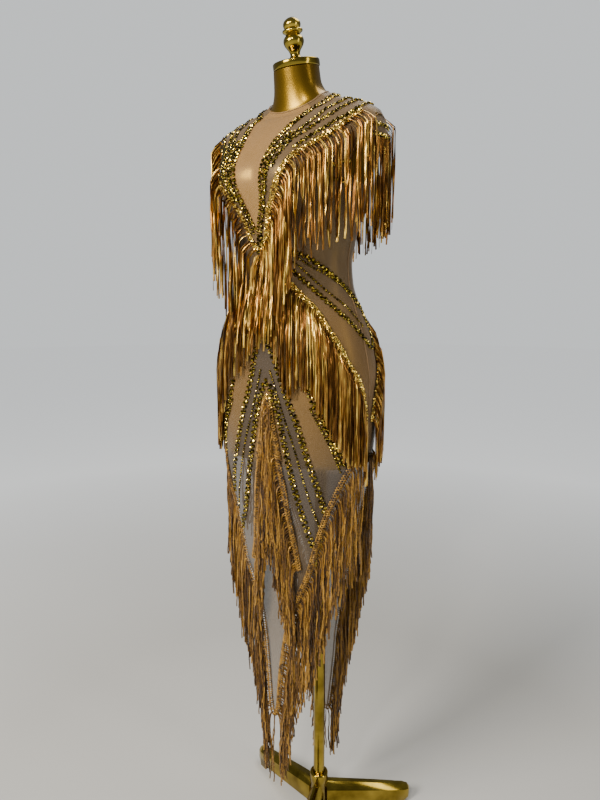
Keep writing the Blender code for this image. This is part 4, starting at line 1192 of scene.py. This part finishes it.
def fringe(name, node, heads, pitch, lengths, layer, strand, finish, length_by=height_of):
    """A thick row of strands in two tiers from its head lines, in place of a fringe's solid."""
    chance = random.Random(len(name) * 31 + len(heads[0]))
    points, faces, own_tones = [], [], []
    for places in heads:
        for tier in (0, 1):
            since = chance.uniform(0, pitch)
            walked = 0.0
            last = places[0][0]
            for centre, along, away, low in places:
                since += (centre - last).length
                walked += (centre - last).length
                last = centre
                if since < pitch * chance.uniform(*PITCH_VARIES):
                    continue
                since = 0.0
                length = read_table(lengths, length_by(centre))[0]
                length *= chance.uniform(strand["shortest"], LONGEST)
                root = centre + low * ROOT_DOWN + away * (ROOT_OUT + ROOT_APART * tier)
                own_layer = layer + TIER_APART * (tier - 0.5)
                own_layer += chance.uniform(-LAYER_VARIES, LAYER_VARIES)
                tone = chance.random()
                turn = chance.uniform(-strand["facing"], strand["facing"])
                rate = chance.uniform(-strand["twist"], strand["twist"])
                half = strand["width"] * chance.uniform(*WIDTH_VARIES) / 2
                first = len(points)
                path = strand_path(root, low, length, own_layer, strand, walked, chance)
                for k, (middle, outwards, around) in enumerate(path):
                    share = k / (len(path) - 1)
                    angle = turn + rate * length * share + 0.5 * math.sin(9 * share + turn)
                    flat = around * math.cos(angle) + outwards * math.sin(angle)
                    thick = outwards * math.cos(angle) - around * math.sin(angle)
                    points += [middle - flat * half, middle + flat * half]
                    points.append(middle + thick * strand["depth"])
                    own_tones += [tone] * 3
                faces += grid_faces(3, len(path), True, first)
                faces.append((first + 2, first + 1, first))
                faces.append((len(points) - 3, len(points) - 2, len(points) - 1))
    piece = piece_from(name, points, faces, finish, smooth=False)
    mark(piece, "strand", own_tones)
    if node:
        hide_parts(node)


for name, node, line in (
    ("yoke_ribbons_left", "yoke_fringe_left", YOKE_HEAD),
    ("yoke_ribbons_right", "yoke_fringe_right", other_side(YOKE_HEAD)[::-1]),
    ("back_yoke_ribbons", "back_yoke_fringe", across_back(BACK_YOKE_HEAD)),
):
    head = along_line(line)
    fringe(name, node, [head], YOKE_PITCH, YOKE_LENGTHS, YOKE_LAYER, YOKE_RIBBON, foil_ribbon)
fringe(
    "centre_ribbons", None, [along_line(mirrored(head)) for head in CENTRE_HEADS], CENTRE_PITCH,
    CENTRE_LENGTHS, CENTRE_LAYER, HIP_RIBBON, foil_ribbon
)
for name, node, line, pitch in (
    ("hip_ribbons_front", "hip_fringe_front", mirrored(HIP_HEAD), 0.0034),
    ("hip_ribbons_back", "hip_fringe_back", across_back(BACK_HIP_HEAD), 0.0036),
):
    fringe(
        name, node, [along_line(line)], pitch, HIP_LENGTHS, HIP_LAYER, HIP_RIBBON, foil_ribbon,
        length_by=direction_of
    )
for name, node, line, pitch, lengths, layer, strand in (
    ("hem_cords_front", "hem_fringe_front", hem_front_head, 0.0044, HEM_LENGTHS, HEM_LAYER, CORD),
    ("hem_cords_back", "hem_fringe_back", hem_back_head, 0.0046, HEM_LENGTHS, HEM_LAYER, CORD),
    ("apex_tuft", None, mirrored(APEX_EDGE), 0.0026, TUFT_LENGTHS, APEX_LAYER, TUFT_CORD),
    ("apex_cords", "apex_fringe", mirrored(APEX_HEAD), 0.0042, APEX_LENGTHS, APEX_LAYER, CORD),
):
    fringe(name, node, [along_line(line)], pitch, lengths, layer, strand, cord_fringe)
for side, name in ((1, "left"), (-1, "right")):
    rim = along_sleeve(side, down=0.9, out=0.001, margin=1, steps=70)
    fringe(
        f"sleeve_ribbons_{name}", f"sleeve_fringe_{name}", [rim], SLEEVE_PITCH, SLEEVE_LENGTHS,
        SLEEVE_LAYER, SLEEVE_RIBBON, foil_ribbon
    )
